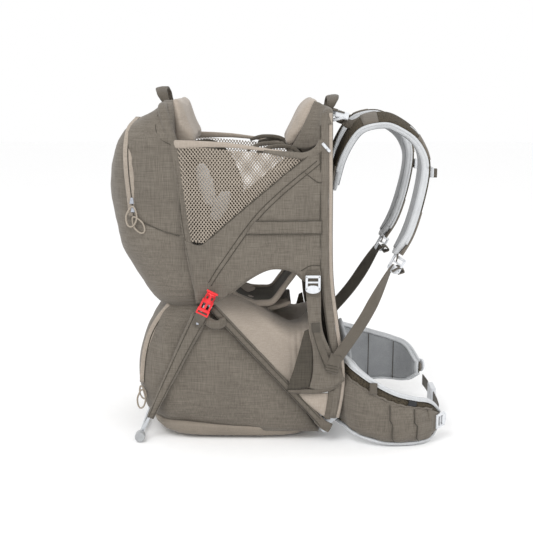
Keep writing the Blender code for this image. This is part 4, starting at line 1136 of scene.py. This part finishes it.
LOCK_LEAN = math.radians(26.5)
for hand, sign in (("right", -1), ("left", 1)):
    place = (Matrix.Translation((CROSS.x, sign * 0.1680, CROSS.z)) @ Matrix.Rotation(LOCK_LEAN, 4, "Y")
             @ Matrix.Translation((0, 0, 0.0050)))
    # The female half: a shell with a waisted mouth, solid here; its open windows are dark marks further down, in
    # painted shade.
    shell = [block("shell", (0.0240, 0.0095, 0.0170), 0.0014, (0.80, 0.9), ((0.0045, 0.90, 0.9),))]
    for x in (-0.0088, 0.0088):
        cheek = block("cheek", (0.0040, 0.0085, 0.0100), 0.0010, (0.8, 0.9))
        cheek.data.transform(Matrix.Translation((x * 1.12, 0, -0.0072)))
        shell.append(cheek)
    crossbar = block("crossbar", (0.0235, 0.0062, 0.0036), 0.0009)
    crossbar.data.transform(Matrix.Translation((0, 0, 0.0150)))
    shell.append(crossbar)
    socket = joined("frame_lock_shell_" + hand, shell)
    set_down(socket, place @ Matrix.Translation((0, 0, 0.0065)), RED_ACETAL, "hoop")
    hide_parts("frame_lock_socket_" + hand)
    # The male half: two prongs and a stem from a slotted base.
    parts = [block("base", (0.0250, 0.0085, 0.0060), 0.0012)]
    parts[0].data.transform(Matrix.Translation((0, 0, -0.0175)))
    for x, wide in ((-0.0094, 0.0056), (0.0, 0.0066), (0.0094, 0.0056)):
        prong = block("prong", (wide, 0.0064, 0.0180), 0.0009, (0.7, 0.8))
        prong.data.transform(Matrix.Translation((x, 0, -0.0080)))
        parts.append(prong)
    foot = block("foot", (0.0250, 0.0070, 0.0034), 0.0009)
    foot.data.transform(Matrix.Translation((0, 0, -0.0262)))
    parts.append(foot)
    for x in (-0.0110, 0.0110):
        post = block("post", (0.0032, 0.0066, 0.0070), 0.0008)
        post.data.transform(Matrix.Translation((x, 0, -0.0218)))
        parts.append(post)
    plug = joined("frame_lock_fork_" + hand, parts)
    set_down(plug, place, RED_ACETAL, "lock_plug_" + hand)
    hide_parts("frame_lock_plug_" + hand)
    down = Vector((-math.sin(LOCK_LEAN), 0, -math.cos(LOCK_LEAN)))
    lock = place.translation
    out = Vector((0, sign, 0))
    # Dark blocks paint the shade inside the lock's windows.
    for x in (-0.0052, 0.0052):
        slot_mark = block("frame_lock_slot_%s_%s" % ("a" if x < 0 else "b", hand), (0.0034, 0.0012, 0.0052), 0.0004)
        set_down(slot_mark, place @ Matrix.Translation((x, sign * 0.0044, 0.0100)), SHADE_CLOTH,
                 "hoop")
    strap("frame_lock_fold_" + hand, [lock + down * 0.0225 - out * 0.001, lock + down * 0.034 + out * 0.001,
                                      lock + down * 0.052 - out * 0.007],
          0.0250, (0.9, 0, -0.45), WEBBING_CLOTH, "lock_plug_" + hand, 0.0060, 18,
          grow=lambda t: 0.92 - 0.12 * t)
    ear_path = [Vector((-0.078, sign * 0.1575, 0.262)), Vector((-0.066, sign * 0.1640, 0.251)),
                Vector((-0.050, sign * 0.1640, 0.246)), Vector((-0.035, sign * 0.1570, 0.252))]
    ear = sweep("crossing_tab_" + hand, even_line(ear_path, 24), oval(0.019, 0.010, 14, 0.9), (0.25, 0, 1))
    crumple(ear, 0.0010, 0.015, 46)
    fit_out(ear, SLEEVE_CLOTH, "hoop")
    rivet = block("crossing_rivet_" + hand, (0.0056, 0.0056, 0.0030), 0.0014)
    set_down(rivet, Matrix.Translation((-0.089, sign * 0.1660, 0.249)) @ Matrix.Rotation(math.pi / 2, 4, "X"),
             ZIP_METAL, "lock_plug_" + hand)

# ---- Shoulder harness ----
# Each strap is a moulded foam pad in grey knit. A dark mesh cover lies on its outer face, bound all
# round with light knit, with pack cloth sewn over both ends.


def knit(name, dark, light):
    made, tree, shader, place = new_material(name)
    # Real knit loops are 0.8 mm; they are drawn at 2 mm, so that they can be seen.
    loop = add_node(tree, "ShaderNodeTexVoronoi", None, {"Vector": place, "Scale": 500.0})
    cloud = add_node(tree, "ShaderNodeTexNoise", None, {"Vector": place, "Scale": 30.0, "Detail": 3.0})
    both = add_node(tree, "ShaderNodeMath", {"operation": "MULTIPLY_ADD"},
                    {0: loop.outputs["Distance"], 1: 0.5, 2: cloud.outputs[0]})
    tint = add_node(tree, "ShaderNodeMix", {"data_type": "RGBA"},
                    {0: both.outputs[0], 6: hex_linear(dark), 7: hex_linear(light)})
    tree.links.new(tint.outputs[2], shader.inputs["Base Color"])
    bump = add_node(tree, "ShaderNodeBump", None,
                    {"Height": loop.outputs["Distance"], "Distance": 0.0006, "Strength": 0.5})
    tree.links.new(bump.outputs[0], shader.inputs["Normal"])
    shader.inputs["Roughness"].default_value = 0.9
    shader.inputs["Sheen Weight"].default_value = 0.15
    return made


LIGHT_KNIT = knit("light grey bound knit", "#a4a6a8", "#c6c8ca")
GREY_KNIT = knit("grey lining knit", "#7c7e80", "#989a9c")

STRAP_RUN = ((0.0, 0.0, -0.012), (0.012, 0.060, -0.008), (0.033, 0.106, 0.0), (0.056, 0.129, 0.004),
             (0.096, 0.136, 0.006), (0.127, 0.124, 0.008), (0.154, 0.102, 0.010), (0.171, 0.068, 0.012),
             (0.172, 0.030, 0.013), (0.161, -0.028, 0.016), (0.144, -0.082, 0.020), (0.120, -0.124, 0.024))
YOKE = Vector((0.1774, 0.0, 0.50))
STRAP_PLACE = 0.090
STRAP_STEPS = 90


def strap_run(sign, start=0, stop=STRAP_STEPS - 1):
    """Centre points, outward faces and width directions along one strap."""
    line = even_line([YOKE + Vector((dx, sign * (STRAP_PLACE + dy), dz)) for dx, dz, dy in STRAP_RUN],
                     STRAP_STEPS)
    frames = []
    for i in range(start, stop + 1):
        along = (line[min(i + 1, STRAP_STEPS - 1)] - line[max(i - 1, 0)]).normalized()
        share = i / (STRAP_STEPS - 1)
        # The strap turns outward a little over the shoulder, so that its face lies on it.
        tip = sign * 0.30 * math.sin(math.pi * min(1.0, share * 1.3)) if share < 0.77 else 0.0
        wide = Vector((0, math.cos(tip), -math.sin(tip)))
        wide = (wide - along * wide.dot(along)).normalized()
        out = Vector((0, 1, 0)).cross(along).normalized() * -1
        out = along.cross(wide)
        if out.dot(Vector((0, 1, 0)).cross(along)) > 0:
            out = -out
        frames.append((line[i], out, wide, share))
    return frames


def strap_layer(name, frames, inner, outer, half, crown=0.0, round_ends=True):
    """Closed layer between two depths from the strap's middle, with crowned outer face."""
    rows = []
    last = len(frames) - 1
    for i, (point, out, wide, share) in enumerate(frames):
        close = 1.0
        if round_ends:
            near = min(i, last - i) / 8
            close = math.sin(math.pi / 2 * min(1.0, 0.25 + near * 0.75))
        w = half * (1.0 - 0.12 * share) * close
        ring = []
        for k in range(20):
            angle = math.tau * k / 20
            c = math.copysign(abs(math.cos(angle)) ** 0.55, math.cos(angle))
            s = math.sin(angle)
            depth = (outer + inner) / 2 + ((outer - inner) / 2 * (0.35 + 0.65 * close)
                                           * math.copysign(abs(s) ** 0.6, s))
            bow = crown * (1 - c * c)
            ring.append(point + wide * (w * c) + out * (depth + (bow if s > 0 else 0)))
        rows.append(ring)
    return skin(name, rows, around=True, ends=True)


for hand, sign in (("right", -1), ("left", 1)):
    run = strap_run(sign)
    pad = strap_layer("strap_pad_" + hand, run, -0.0085, 0.0065, 0.0315)
    fit_out(pad, LIGHT_KNIT, "carrier")
    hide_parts("shoulder_strap_" + hand)
    lining = strap_layer("strap_lining_" + hand, run[2:-2], -0.0098, -0.0070, 0.0235)
    fit_out(lining, GREY_KNIT, "carrier")
    cover = strap_layer("strap_mesh_" + hand, run[2:-3], 0.0040, 0.0100, 0.0290, 0.001)
    fit_out(cover, MESH_CLOTH, "carrier")
    for label, first, last in (("top", 26, 31), ("shoulder", 46, 54), ("tip", 72, 88), ("yoke", 0, 9)):
        patch_piece = strap_layer("strap_cloth_%s_%s" % (label, hand), run[first:last + 1], 0.0045, 0.0112, 0.0302,
                                  0.001, False)
        fit_out(patch_piece, PACK_CLOTH, "carrier")
    for label, edge in (("outer", sign), ("inner", -sign)):
        rail = [p + w * (edge * 0.0295 * (1 - 0.12 * share)) + o * 0.0030 for p, o, w, share in run[7:-5]]
        binding = sweep("strap_binding_%s_%s" % (label, hand), rail, oval(0.0060, 0.0060, 10, 1.0), (0, 0, 1.0))
        fit_out(binding, LIGHT_KNIT, "carrier")

    # Load lifter: light lock by the frame, and webbing that bunches where it is sewn to the strap.
    lifter = Vector((0.187, sign * 0.086, 0.638))
    web = sweep("lifter_web_" + hand, even_line([lifter + Vector((0.006, 0, -0.004)),
                                                 lifter + Vector((0.024, 0, -0.010)),
                                                 lifter + Vector((0.038, 0, -0.008)),
                                                 lifter + Vector((0.052, 0, -0.004))], 30),
                oval(0.0240, 0.0060, 16, 0.8), (0, 0.6, 1), grow=lambda t: 0.75 + 0.35 * t)
    crumple(web, 0.0030, 0.012, 51)
    fit_out(web, WEBBING_CLOTH, "carrier")
    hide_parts("lifter_webbing_" + hand)
    clip = block("lifter_clip_" + hand, (0.0300, 0.0230, 0.0050), 0.0018, (0.9, 0.8))
    set_down(clip, Matrix.Translation((0.191, sign * 0.094, 0.6460)) @ Matrix.Rotation(math.radians(14), 4, "Y")
             @ Matrix.Rotation(sign * math.radians(-40), 4, "X"),
             LIGHT_ACETAL, "lifter_adjuster_" + hand)
    anchor = [Vector((0.166, sign * 0.086, 0.656)), Vector((0.180, sign * 0.086, 0.6545)),
              Vector((0.196, sign * 0.086, 0.6505))]
    strap("lifter_anchor_" + hand, anchor, 0.0200, (0, 1, 0), WEBBING_CLOTH, "carrier", 0.003, 14)

    # Lower webbing: 25 mm wide, from the strap's lock to the anchor tab beside the frame.
    lock_end = Vector((0.2855, sign * 0.1195, 0.3400))
    base = Vector((0.1830, sign * 0.1710, 0.180))
    flat = [Vector((0.25, -sign * 0.9, -0.2)).lerp(Vector((0.80, -sign * 0.25, -0.5)), min(1.0, k / 16))
            for k in range(40)]
    # The far (left) web takes the darker webbing as painted shade.
    web = strap("lower_web_" + hand, [lock_end + Vector((0.010, -sign * 0.003, 0.016)), lock_end,
                                      lock_end.lerp(base, 0.5) + Vector((0.004, 0, -0.005)), base],
                0.0250, flat, DARK_TAB_AND_SHADED_WEBBING if sign > 0 else WEBBING_CLOTH, "carrier")
    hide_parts("lower_webbing_" + hand)
    tail = [lock_end + Vector((0.006, 0, 0.004)), lock_end + Vector((0.020, 0, 0.012)),
            lock_end + Vector((0.030, -sign * 0.002, 0.004)), lock_end + Vector((0.018, -sign * 0.003, -0.001))]
    strap("lower_web_tail_" + hand, tail, 0.0240, (0, 1, 0.1), WEBBING_CLOTH, "carrier", 0.0024, 20)

    tab = [Vector((0.366, sign * 0.094, 0.534)), Vector((0.378, sign * 0.094, 0.534))]
    strap("sternum_tab_" + hand, tab, 0.0180, (0, 0, 1), WEBBING_CLOTH, "sternum_" + hand, 0.012, 8)
    rail_line = [p + o * 0.0105 for p, o, w, share in run[42:70]]
    rail = sweep("sternum_rail_" + hand, rail_line, oval(0.0050, 0.0030, 8, 1.0), (0, 1, 0))
    fit_out(rail, LIGHT_KNIT, "carrier")

# ---- Grab loops ----
# Folded webbing handles at the top of the hoop and of the back frame, narrow where they are sewn.
for label, base, lean, rise, half, body in (
        ("front", Vector((0.170, 0, 0.6560)), 0.008, 0.0245, 0.050, "carrier"),
        ("rear", Vector((-0.1515, 0, 0.6640)), -0.014, 0.0330, 0.045, "hoop")):
    path = []
    for i in range(40):
        angle = math.pi * i / 39
        up = math.sin(angle) ** 0.5
        path.append(base + Vector((lean * up, -half * math.cos(angle), rise * up)))
    loop = sweep(label + "_handle", path, oval(0.0250, 0.0060, 16, 0.7), (1, 0, 0.12),
                 grow=lambda t: 0.45 + 0.55 * math.sin(math.pi * t) ** 0.5)
    crumple(loop, 0.0012, 0.014, 61)
    fit_out(loop, WEBBING_CLOTH, body)
    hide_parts(label + "_grab_loop")

# ---- Hip belt ----
# Two foam wings that wrap forward from the frame: grey knit inside, dark mesh outside, bound with
# light knit, with a gathered pocket of stretch cloth on each and webbing to a side-release buckle.
WING_BASE = 0.187
WING_RUN = ((0.004, 0.118, 0.032, 0.178), (0.022, 0.140, 0.026, 0.168), (0.034, 0.156, 0.020, 0.158),
            (0.066, 0.170, 0.011, 0.136), (0.110, 0.173, 0.003, 0.112), (0.150, 0.168, 0.002, 0.099),
            (0.184, 0.150, 0.003, 0.088), (0.204, 0.124, 0.014, 0.070))
WING_STEPS = 48
wing_path = even_line([Vector((WING_BASE + dx, dy, 0)) for dx, dy, low, high in WING_RUN], WING_STEPS)
wing_low = [(WING_BASE + dx, low) for dx, dy, low, high in WING_RUN]
wing_high = [(WING_BASE + dx, high) for dx, dy, low, high in WING_RUN]


def tip_rise(sign, i):
    """The left wing stands up at its free end; the right one has relaxed outward and lies lower."""
    return 0.024 * math.sin(math.pi / 2 * min(1.0, i / 30)) ** 2 if sign > 0 else 0.0


def wing_point(sign, i, share, out):
    """Point on a wing: step along it, share of its height, and distance out from its middle."""
    point = wing_path[i]
    along = (wing_path[min(i + 1, WING_STEPS - 1)] - wing_path[max(i - 1, 0)]).normalized()
    low = max(read_off(wing_low, point.x), 0.004)
    high = read_off(wing_high, point.x) + 1.2 * tip_rise(sign, i)
    low += 0.9 * tip_rise(sign, i)
    rounding = 0.26 * max(0.0, (i - 36) / (WING_STEPS - 37)) ** 2 * (high - low)
    low += rounding
    high -= rounding
    return Vector((point.x - along.y * out, (point.y + along.x * out) * sign, low + (high - low) * share))


def wing_layer(name, sign, first, last, low, high, inner, outer, crown=0.0):
    rows = []
    for i in range(first, last + 1):
        ring = []
        for k in range(24):
            t = k / 11 if k < 12 else (23 - k) / 11
            lift = crown * math.sin(math.pi * t) ** 0.7
            round_off = 0.3 + 0.7 * math.sin(math.pi * t) ** 0.35
            middle = (inner + outer) / 2
            depth = (outer - middle) * round_off
            share = low + (high - low) * t
            if k < 12:
                ring.append(wing_point(sign, i, share, middle + depth + lift))
            else:
                ring.append(wing_point(sign, i, share, middle - depth))
        rows.append(ring)
    return skin(name, rows, around=True, ends=True)


for hand, sign in (("right", -1), ("left", 1)):
    wing = wing_layer("wing_pad_" + hand, sign, 0, WING_STEPS - 1, 0.0, 1.0, -0.0065, 0.0050)
    fit_out(wing, LIGHT_KNIT, "carrier")
    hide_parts("hip_wing_" + hand)
    inside = wing_layer("wing_lining_" + hand, sign, 1, WING_STEPS - 2, 0.06, 0.94, -0.0100, -0.0040)
    fit_out(inside, GREY_KNIT, "carrier")
    outside = wing_layer("wing_mesh_" + hand, sign, 1, WING_STEPS - 1, 0.05, 0.93, 0.0010, 0.0068)
    fit_out(outside, MESH_CLOTH, "carrier")
    pocket = wing_layer("wing_pocket_" + hand, sign, 3, 40, 0.06, 0.80, 0.0050, 0.0095, 0.006)
    crumple(pocket, 0.0032, 0.035, 71, (2.0, 1, 0.35))
    fit_out(pocket, PACK_CLOTH, "carrier")
    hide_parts("hip_pocket_" + hand)
    wrap = wing_layer("wing_wrap_" + hand, sign, 38, WING_STEPS - 1, 0.16, 0.78, 0.0060, 0.0110, 0.002)
    fit_out(wrap, PACK_CLOTH, "carrier")
    for label, share, out, size in (("top", 0.99, 0.004, 0.0075), ("top_second", 0.955, 0.0062, 0.0035),
                                    ("bottom", 0.015, 0.004, 0.0065), ("inner_top", 0.97, -0.007, 0.0055),
                                    ("inner_bottom", 0.04, -0.007, 0.0055)):
        line = [wing_point(sign, i, share, out) for i in range(WING_STEPS)]
        binding = sweep("wing_binding_%s_%s" % (label, hand), line, oval(size, size, 10, 1.0), (0, 0, 1))
        fit_out(binding, LIGHT_KNIT, "carrier")
    # The seams' dark cloth paints their shadow lines.
    for k, (i, low, high, out) in enumerate(((23, 0.08, 0.76, 0.0195), (32, 0.08, 0.78, 0.0185))):
        line = [wing_point(sign, i + int(2 * (1 - t)), low + (high - low) * t, out - 0.0015 - 0.004 * abs(2 * t - 1) ** 2)
                for t in [j / 10 for j in range(11)]]
        fit_out(sweep("pocket_seam_%d_%s" % (k, hand), line, oval(0.0022, 0.0022, 6, 1.0), (1, 0, 0)),
                SHADE_CLOTH, "carrier")
    # These seams' dark cloth paints their shadow lines too.
    for k, i in enumerate((22, 34)):
        line = [wing_point(sign, i, 0.06 + 0.88 * j / 12, -0.0102) for j in range(13)]
        fit_out(sweep("wing_inner_seam_%d_%s" % (k, hand), line, oval(0.0016, 0.0016, 6, 1.0), (1, 0, 0)),
                SHADE_CLOTH, "carrier")
    hem = [wing_point(sign, i, 0.80 + 0.01 * math.sin(i * 1.9), 0.0085) for i in range(3, 41)]
    fit_out(sweep("pocket_hem_roll_" + hand, hem, oval(0.0040, 0.0030, 8, 1.0), (0, 0, 1)), PACK_CLOTH,
            "carrier")
    loop_line = [wing_point(sign, 17, share, out) for share, out in ((0.80, 0.010), (0.90, 0.0125), (0.985, 0.0100))]
    strap("pocket_loop_" + hand, loop_line, 0.0150, (1, 0, 0), WEBBING_CLOTH, "carrier", 0.0024, 14)
    label_line = [wing_point(sign, i, 0.875, 0.0085) for i in range(30, 34)]
    tab = sweep("pocket_tab_" + hand, label_line, oval(0.0110, 0.0024, 10, 0.5), (0, 0, 1))
    fit_out(tab, BLACK_ACETAL, "carrier")
    belt = [wing_point(sign, i, 0.47, 0.0105) for i in range(41, 47)]
    strap("wing_web_" + hand, belt, 0.0250, (0, 0, 1), WEBBING_CLOTH, "carrier", 0.0030, 20)

lumbar_rows = []
for j in range(15):
    z = 0.060 + 0.130 * j / 14
    lumbar_rows.append([Vector((0.207 + 0.010 * math.cos(math.pi * t / 2) * math.sin(math.pi * j / 14), 0.112 * t, z))
                        for t in [-1 + i / 12 for i in range(25)]])
lumbar = thicken(skin("lumbar_cushion", lumbar_rows), 0.010)
swell(lumbar, 0.005, 0.004)
fit_out(lumbar, GREY_KNIT, "carrier")
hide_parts("lumbar_pad")

for hand, sign, body in (("left", 1, "carrier"), ("right", -1, "hip_plug")):
    web = strap("hip_web_" + hand, [Vector((0.3985, sign * 0.097, 0.048)), Vector((0.4010, sign * 0.060, 0.048)),
                                    Vector((0.4015, sign * 0.022, 0.048))], 0.0250, (0, 0, 1),
                WEBBING_CLOTH, body, 0.0022)
    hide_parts("hip_webbing_" + hand)

# ---- Child harness ----
# Side wings of pack cloth, with two pairs of soft leaf-shaped pads over them and a strap on each side.
for hand, sign in (("right", -1), ("left", 1)):
    side_wing = patch("child_wing_" + hand,
                      [Vector((-0.100, sign * 0.072, 0.400)), Vector((-0.055, sign * 0.076, 0.385)),
                       Vector((-0.020, sign * 0.078, 0.420))],
                      [Vector((-0.122, sign * 0.070, 0.585)), Vector((-0.070, sign * 0.074, 0.588)),
                       Vector((-0.030, sign * 0.078, 0.560))],
                      [Vector((-0.100, sign * 0.072, 0.400)), Vector((-0.122, sign * 0.070, 0.585))],
                      [Vector((-0.020, sign * 0.078, 0.420)), Vector((-0.006, sign * 0.080, 0.490)),
                       Vector((-0.030, sign * 0.078, 0.560))], 20, 24, -sign * 0.008)
    crumple(side_wing, 0.004, 0.04, 81)
    thicken(side_wing, 0.006)
    # The wings' dark cloth is painted shade inside the cockpit.
    fit_out(side_wing, SHADE_CLOTH, "folding")
    for k, (x, z, lean, tall) in enumerate(((-0.074, 0.510, 0.25, 0.088), (-0.046, 0.468, -0.45, 0.066))):
        leaf_rows = []
        for j in range(13):
            t = -1 + j / 6
            wide = 0.014 * math.sqrt(max(0.0, 1 - t * t)) ** 0.9 + 0.0015
            leaf_rows.append([Vector((x + tall / 2 * -t * math.sin(lean) + wide * u * math.cos(lean),
                                      sign * (0.0865 + 0.004 * (1 - u * u)),
                                      z + tall / 2 * t * math.cos(lean) + wide * u * math.sin(lean)))
                              for u in [-1 + m / 6 for m in range(13)]])
        leaf = thicken(skin("child_pad_%d_%s" % (k, hand), leaf_rows), 0.006)
        swell(leaf, 0.004, 0.004)
        fit_out(leaf, LIGHT_KNIT, "folding")
        if k == 0:
            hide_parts("child_harness")
    # The straps' dark cloth is painted shade inside the cockpit.
    strap("child_strap_" + hand, [Vector((-0.104, sign * 0.060, 0.585)), Vector((-0.080, sign * 0.084, 0.550)),
                                  Vector((-0.050, sign * 0.086, 0.450)), Vector((-0.040, sign * 0.070, 0.380)),
                                  Vector((-0.030, sign * 0.060, 0.320))], 0.0150, (0.9, 0.2, 0.3),
          SHADE_CLOTH, "folding")

# ---- Shaped ladder locks, foot and frame hook ----
# The locks on the stirrup straps, shoulder webbing and hip belt are shield-shaped, with a bar across.


def shield_lock(name, place, node, body):
    parts = [block("bar", (0.0290, 0.0046, 0.0052), 0.0014)]
    parts[0].data.transform(Matrix.Translation((0, 0, 0.0150)))
    for x in (-0.0122, 0.0122):
        rail = block("rail", (0.0046, 0.0046, 0.0280), 0.0013)
        rail.data.transform(Matrix.Translation((x, 0, 0.0030)))
        parts.append(rail)
    middle = block("middle", (0.0230, 0.0030, 0.0034), 0.0010)
    middle.data.transform(Matrix.Translation((0, 0, 0.0040)))
    parts.append(middle)
    bpy.ops.object.select_all(action="DESELECT")
    bpy.ops.mesh.primitive_cylinder_add(vertices=40, radius=0.0145, depth=0.0046)
    shield = bpy.context.object
    shield.data.transform(Matrix.Translation((0, 0, -0.0100)) @ Matrix.Diagonal((1, 1, 0.55, 1))
                          @ Matrix.Rotation(math.pi / 2, 4, "X"))
    edges = shield.modifiers.new("edges", "BEVEL")
    edges.width = 0.0010
    edges.segments = 2
    edges.limit_method = "ANGLE"
    apply_modifiers(shield)
    parts.append(shield)
    lock = joined(name, parts)
    bpy.ops.object.mode_set(mode="EDIT")
    bpy.ops.mesh.select_all(action="SELECT")
    bpy.ops.mesh.normals_make_consistent(inside=False)
    bpy.ops.object.mode_set(mode="OBJECT")
    bpy.ops.object.shade_smooth_by_angle(angle=math.radians(35))
    set_down(lock, place, LIGHT_ACETAL, body)
    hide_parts(node)


for hand, sign in (("right", -1), ("left", 1)):
    shield_lock("stirrup_shield_" + hand, Matrix.Translation((0.1345, sign * 0.1690, 0.3270)),
                "stirrup_lock_" + hand, "stirrup_adjuster_" + hand)
    shield_lock("strap_shield_" + hand, Matrix.Translation((0.3000, sign * 0.1205, 0.3560))
                @ Matrix.Rotation(math.radians(28), 4, "Y") @ Matrix.Rotation(sign * math.radians(35), 4, "Z"),
                "strap_lock_" + hand, "strap_adjuster_" + hand)
    strap("strap_tip_web_" + hand, [Vector((0.304, sign * 0.114, 0.392)), Vector((0.3035, sign * 0.116, 0.376)),
                                    Vector((0.3005, sign * 0.119, 0.362))], 0.0220, (0.2, 1, 0),
          WEBBING_CLOTH, "carrier", 0.0026, 14)
    tip = wing_point(sign, WING_STEPS - 4, 0.50, 0.0155)
    shield_lock("hip_shield_" + hand, Matrix.Translation(tip) @ Matrix.Rotation(-sign * math.radians(50), 4, "Z")
                @ Matrix.Rotation(math.radians(-90), 4, "Y"), "hip_lock_" + hand, "hip_adjuster_" + hand)
    hook = block("frame_hook_" + hand, (0.0050, 0.0050, 0.0130), 0.0016, (0.8, 0.8),
                 ((0.003, 1.5, 1.2), (0.006, 0.8, 0.9)))
    set_down(hook, Matrix.Translation((0.1600, sign * 0.1605, 0.5850)) @ Matrix.Rotation(math.radians(-42), 4, "Y"),
             LIGHT_ACETAL, "carrier")

# The foot: two clear rubber pads on the kickstand's cross wire.
rod = sweep("foot_wire", [Vector((-0.209, -0.150 + 0.300 * i / 12, 0.0115)) for i in range(13)],
            oval(0.0075, 0.0075, 12, 1.0), (1, 0, 0))
FOOT_PIECES = [rod]
for hand, sign in (("right", -1), ("left", 1)):
    bpy.ops.object.select_all(action="DESELECT")
    bpy.ops.mesh.primitive_cylinder_add(vertices=40, radius=0.0100, depth=0.0180)
    pad = bpy.context.object
    pad.name = "foot_pad_" + hand
    pad.data.transform(Matrix.Translation((-0.209, sign * 0.1500, 0.0108)) @ Matrix.Rotation(math.pi / 2, 4, "X"))
    soften = pad.modifiers.new("edges", "BEVEL")
    soften.width = 0.0022
    soften.segments = 3
    apply_modifiers(pad)
    pad.data.shade_smooth()
    FOOT_PIECES.append(pad)

# ---- Parts kept as they are in the CAD ----
# Tubes, wires, brackets, the foot, the locks and the hip buckle keep their CAD shape; the list gives
# each its finish.
ALLOY, tree, shader, place = new_material("satin anodised aluminium")
brush = add_node(tree, "ShaderNodeTexNoise", None, {"Vector": place, "Scale": 400.0, "Detail": 4.0})
tint = add_node(tree, "ShaderNodeMix", {"data_type": "RGBA"},
                {0: brush.outputs[0], 6: hex_linear("#a9adb1"), 7: hex_linear("#c9ccd0")})
tree.links.new(tint.outputs[2], shader.inputs["Base Color"])
shader.inputs["Metallic"].default_value = 1.0
shader.inputs["Roughness"].default_value = 0.32

WIRE, tree, shader, place = new_material("drawn steel wire")
brush = add_node(tree, "ShaderNodeTexNoise", None, {"Vector": place, "Scale": 700.0, "Detail": 3.0})
tint = add_node(tree, "ShaderNodeMix", {"data_type": "RGBA"},
                {0: brush.outputs[0], 6: hex_linear("#b4b8bc"), 7: hex_linear("#d5d8db")})
tree.links.new(tint.outputs[2], shader.inputs["Base Color"])
shader.inputs["Metallic"].default_value = 1.0
shader.inputs["Roughness"].default_value = 0.25

FOOT_RUBBER, tree, shader, place = new_material("clear grey rubber")
haze = add_node(tree, "ShaderNodeTexNoise", None, {"Vector": place, "Scale": 120.0, "Detail": 2.0})
tint = add_node(tree, "ShaderNodeMix", {"data_type": "RGBA"},
                {0: haze.outputs[0], 6: hex_linear("#a9abad"), 7: hex_linear("#c9cbcc")})
tree.links.new(tint.outputs[2], shader.inputs["Base Color"])
shader.inputs["Transmission Weight"].default_value = 0.35
shader.inputs["Roughness"].default_value = 0.35

for piece in FOOT_PIECES:
    fit_out(piece, WIRE if piece is rod else FOOT_RUBBER, "kickstand")
    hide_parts("foot_bar")

for name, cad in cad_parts.items():
    if "tube" in name or "bracket" in name:
        finish_as = ALLOY
    elif "pin" in name or "kick_leg" in name:
        finish_as = WIRE
    elif name == "foot_bar":
        finish_as = FOOT_RUBBER
    elif "slider" in name and "sternum" not in name:
        finish_as = ZIP_METAL
    elif "lock" in name or "buckle" in name or "sternum" in name:
        finish_as = LIGHT_ACETAL
    else:
        finish_as = PACK_CLOTH
    cad.data.materials.clear()
    cad.data.materials.append(finish_as)
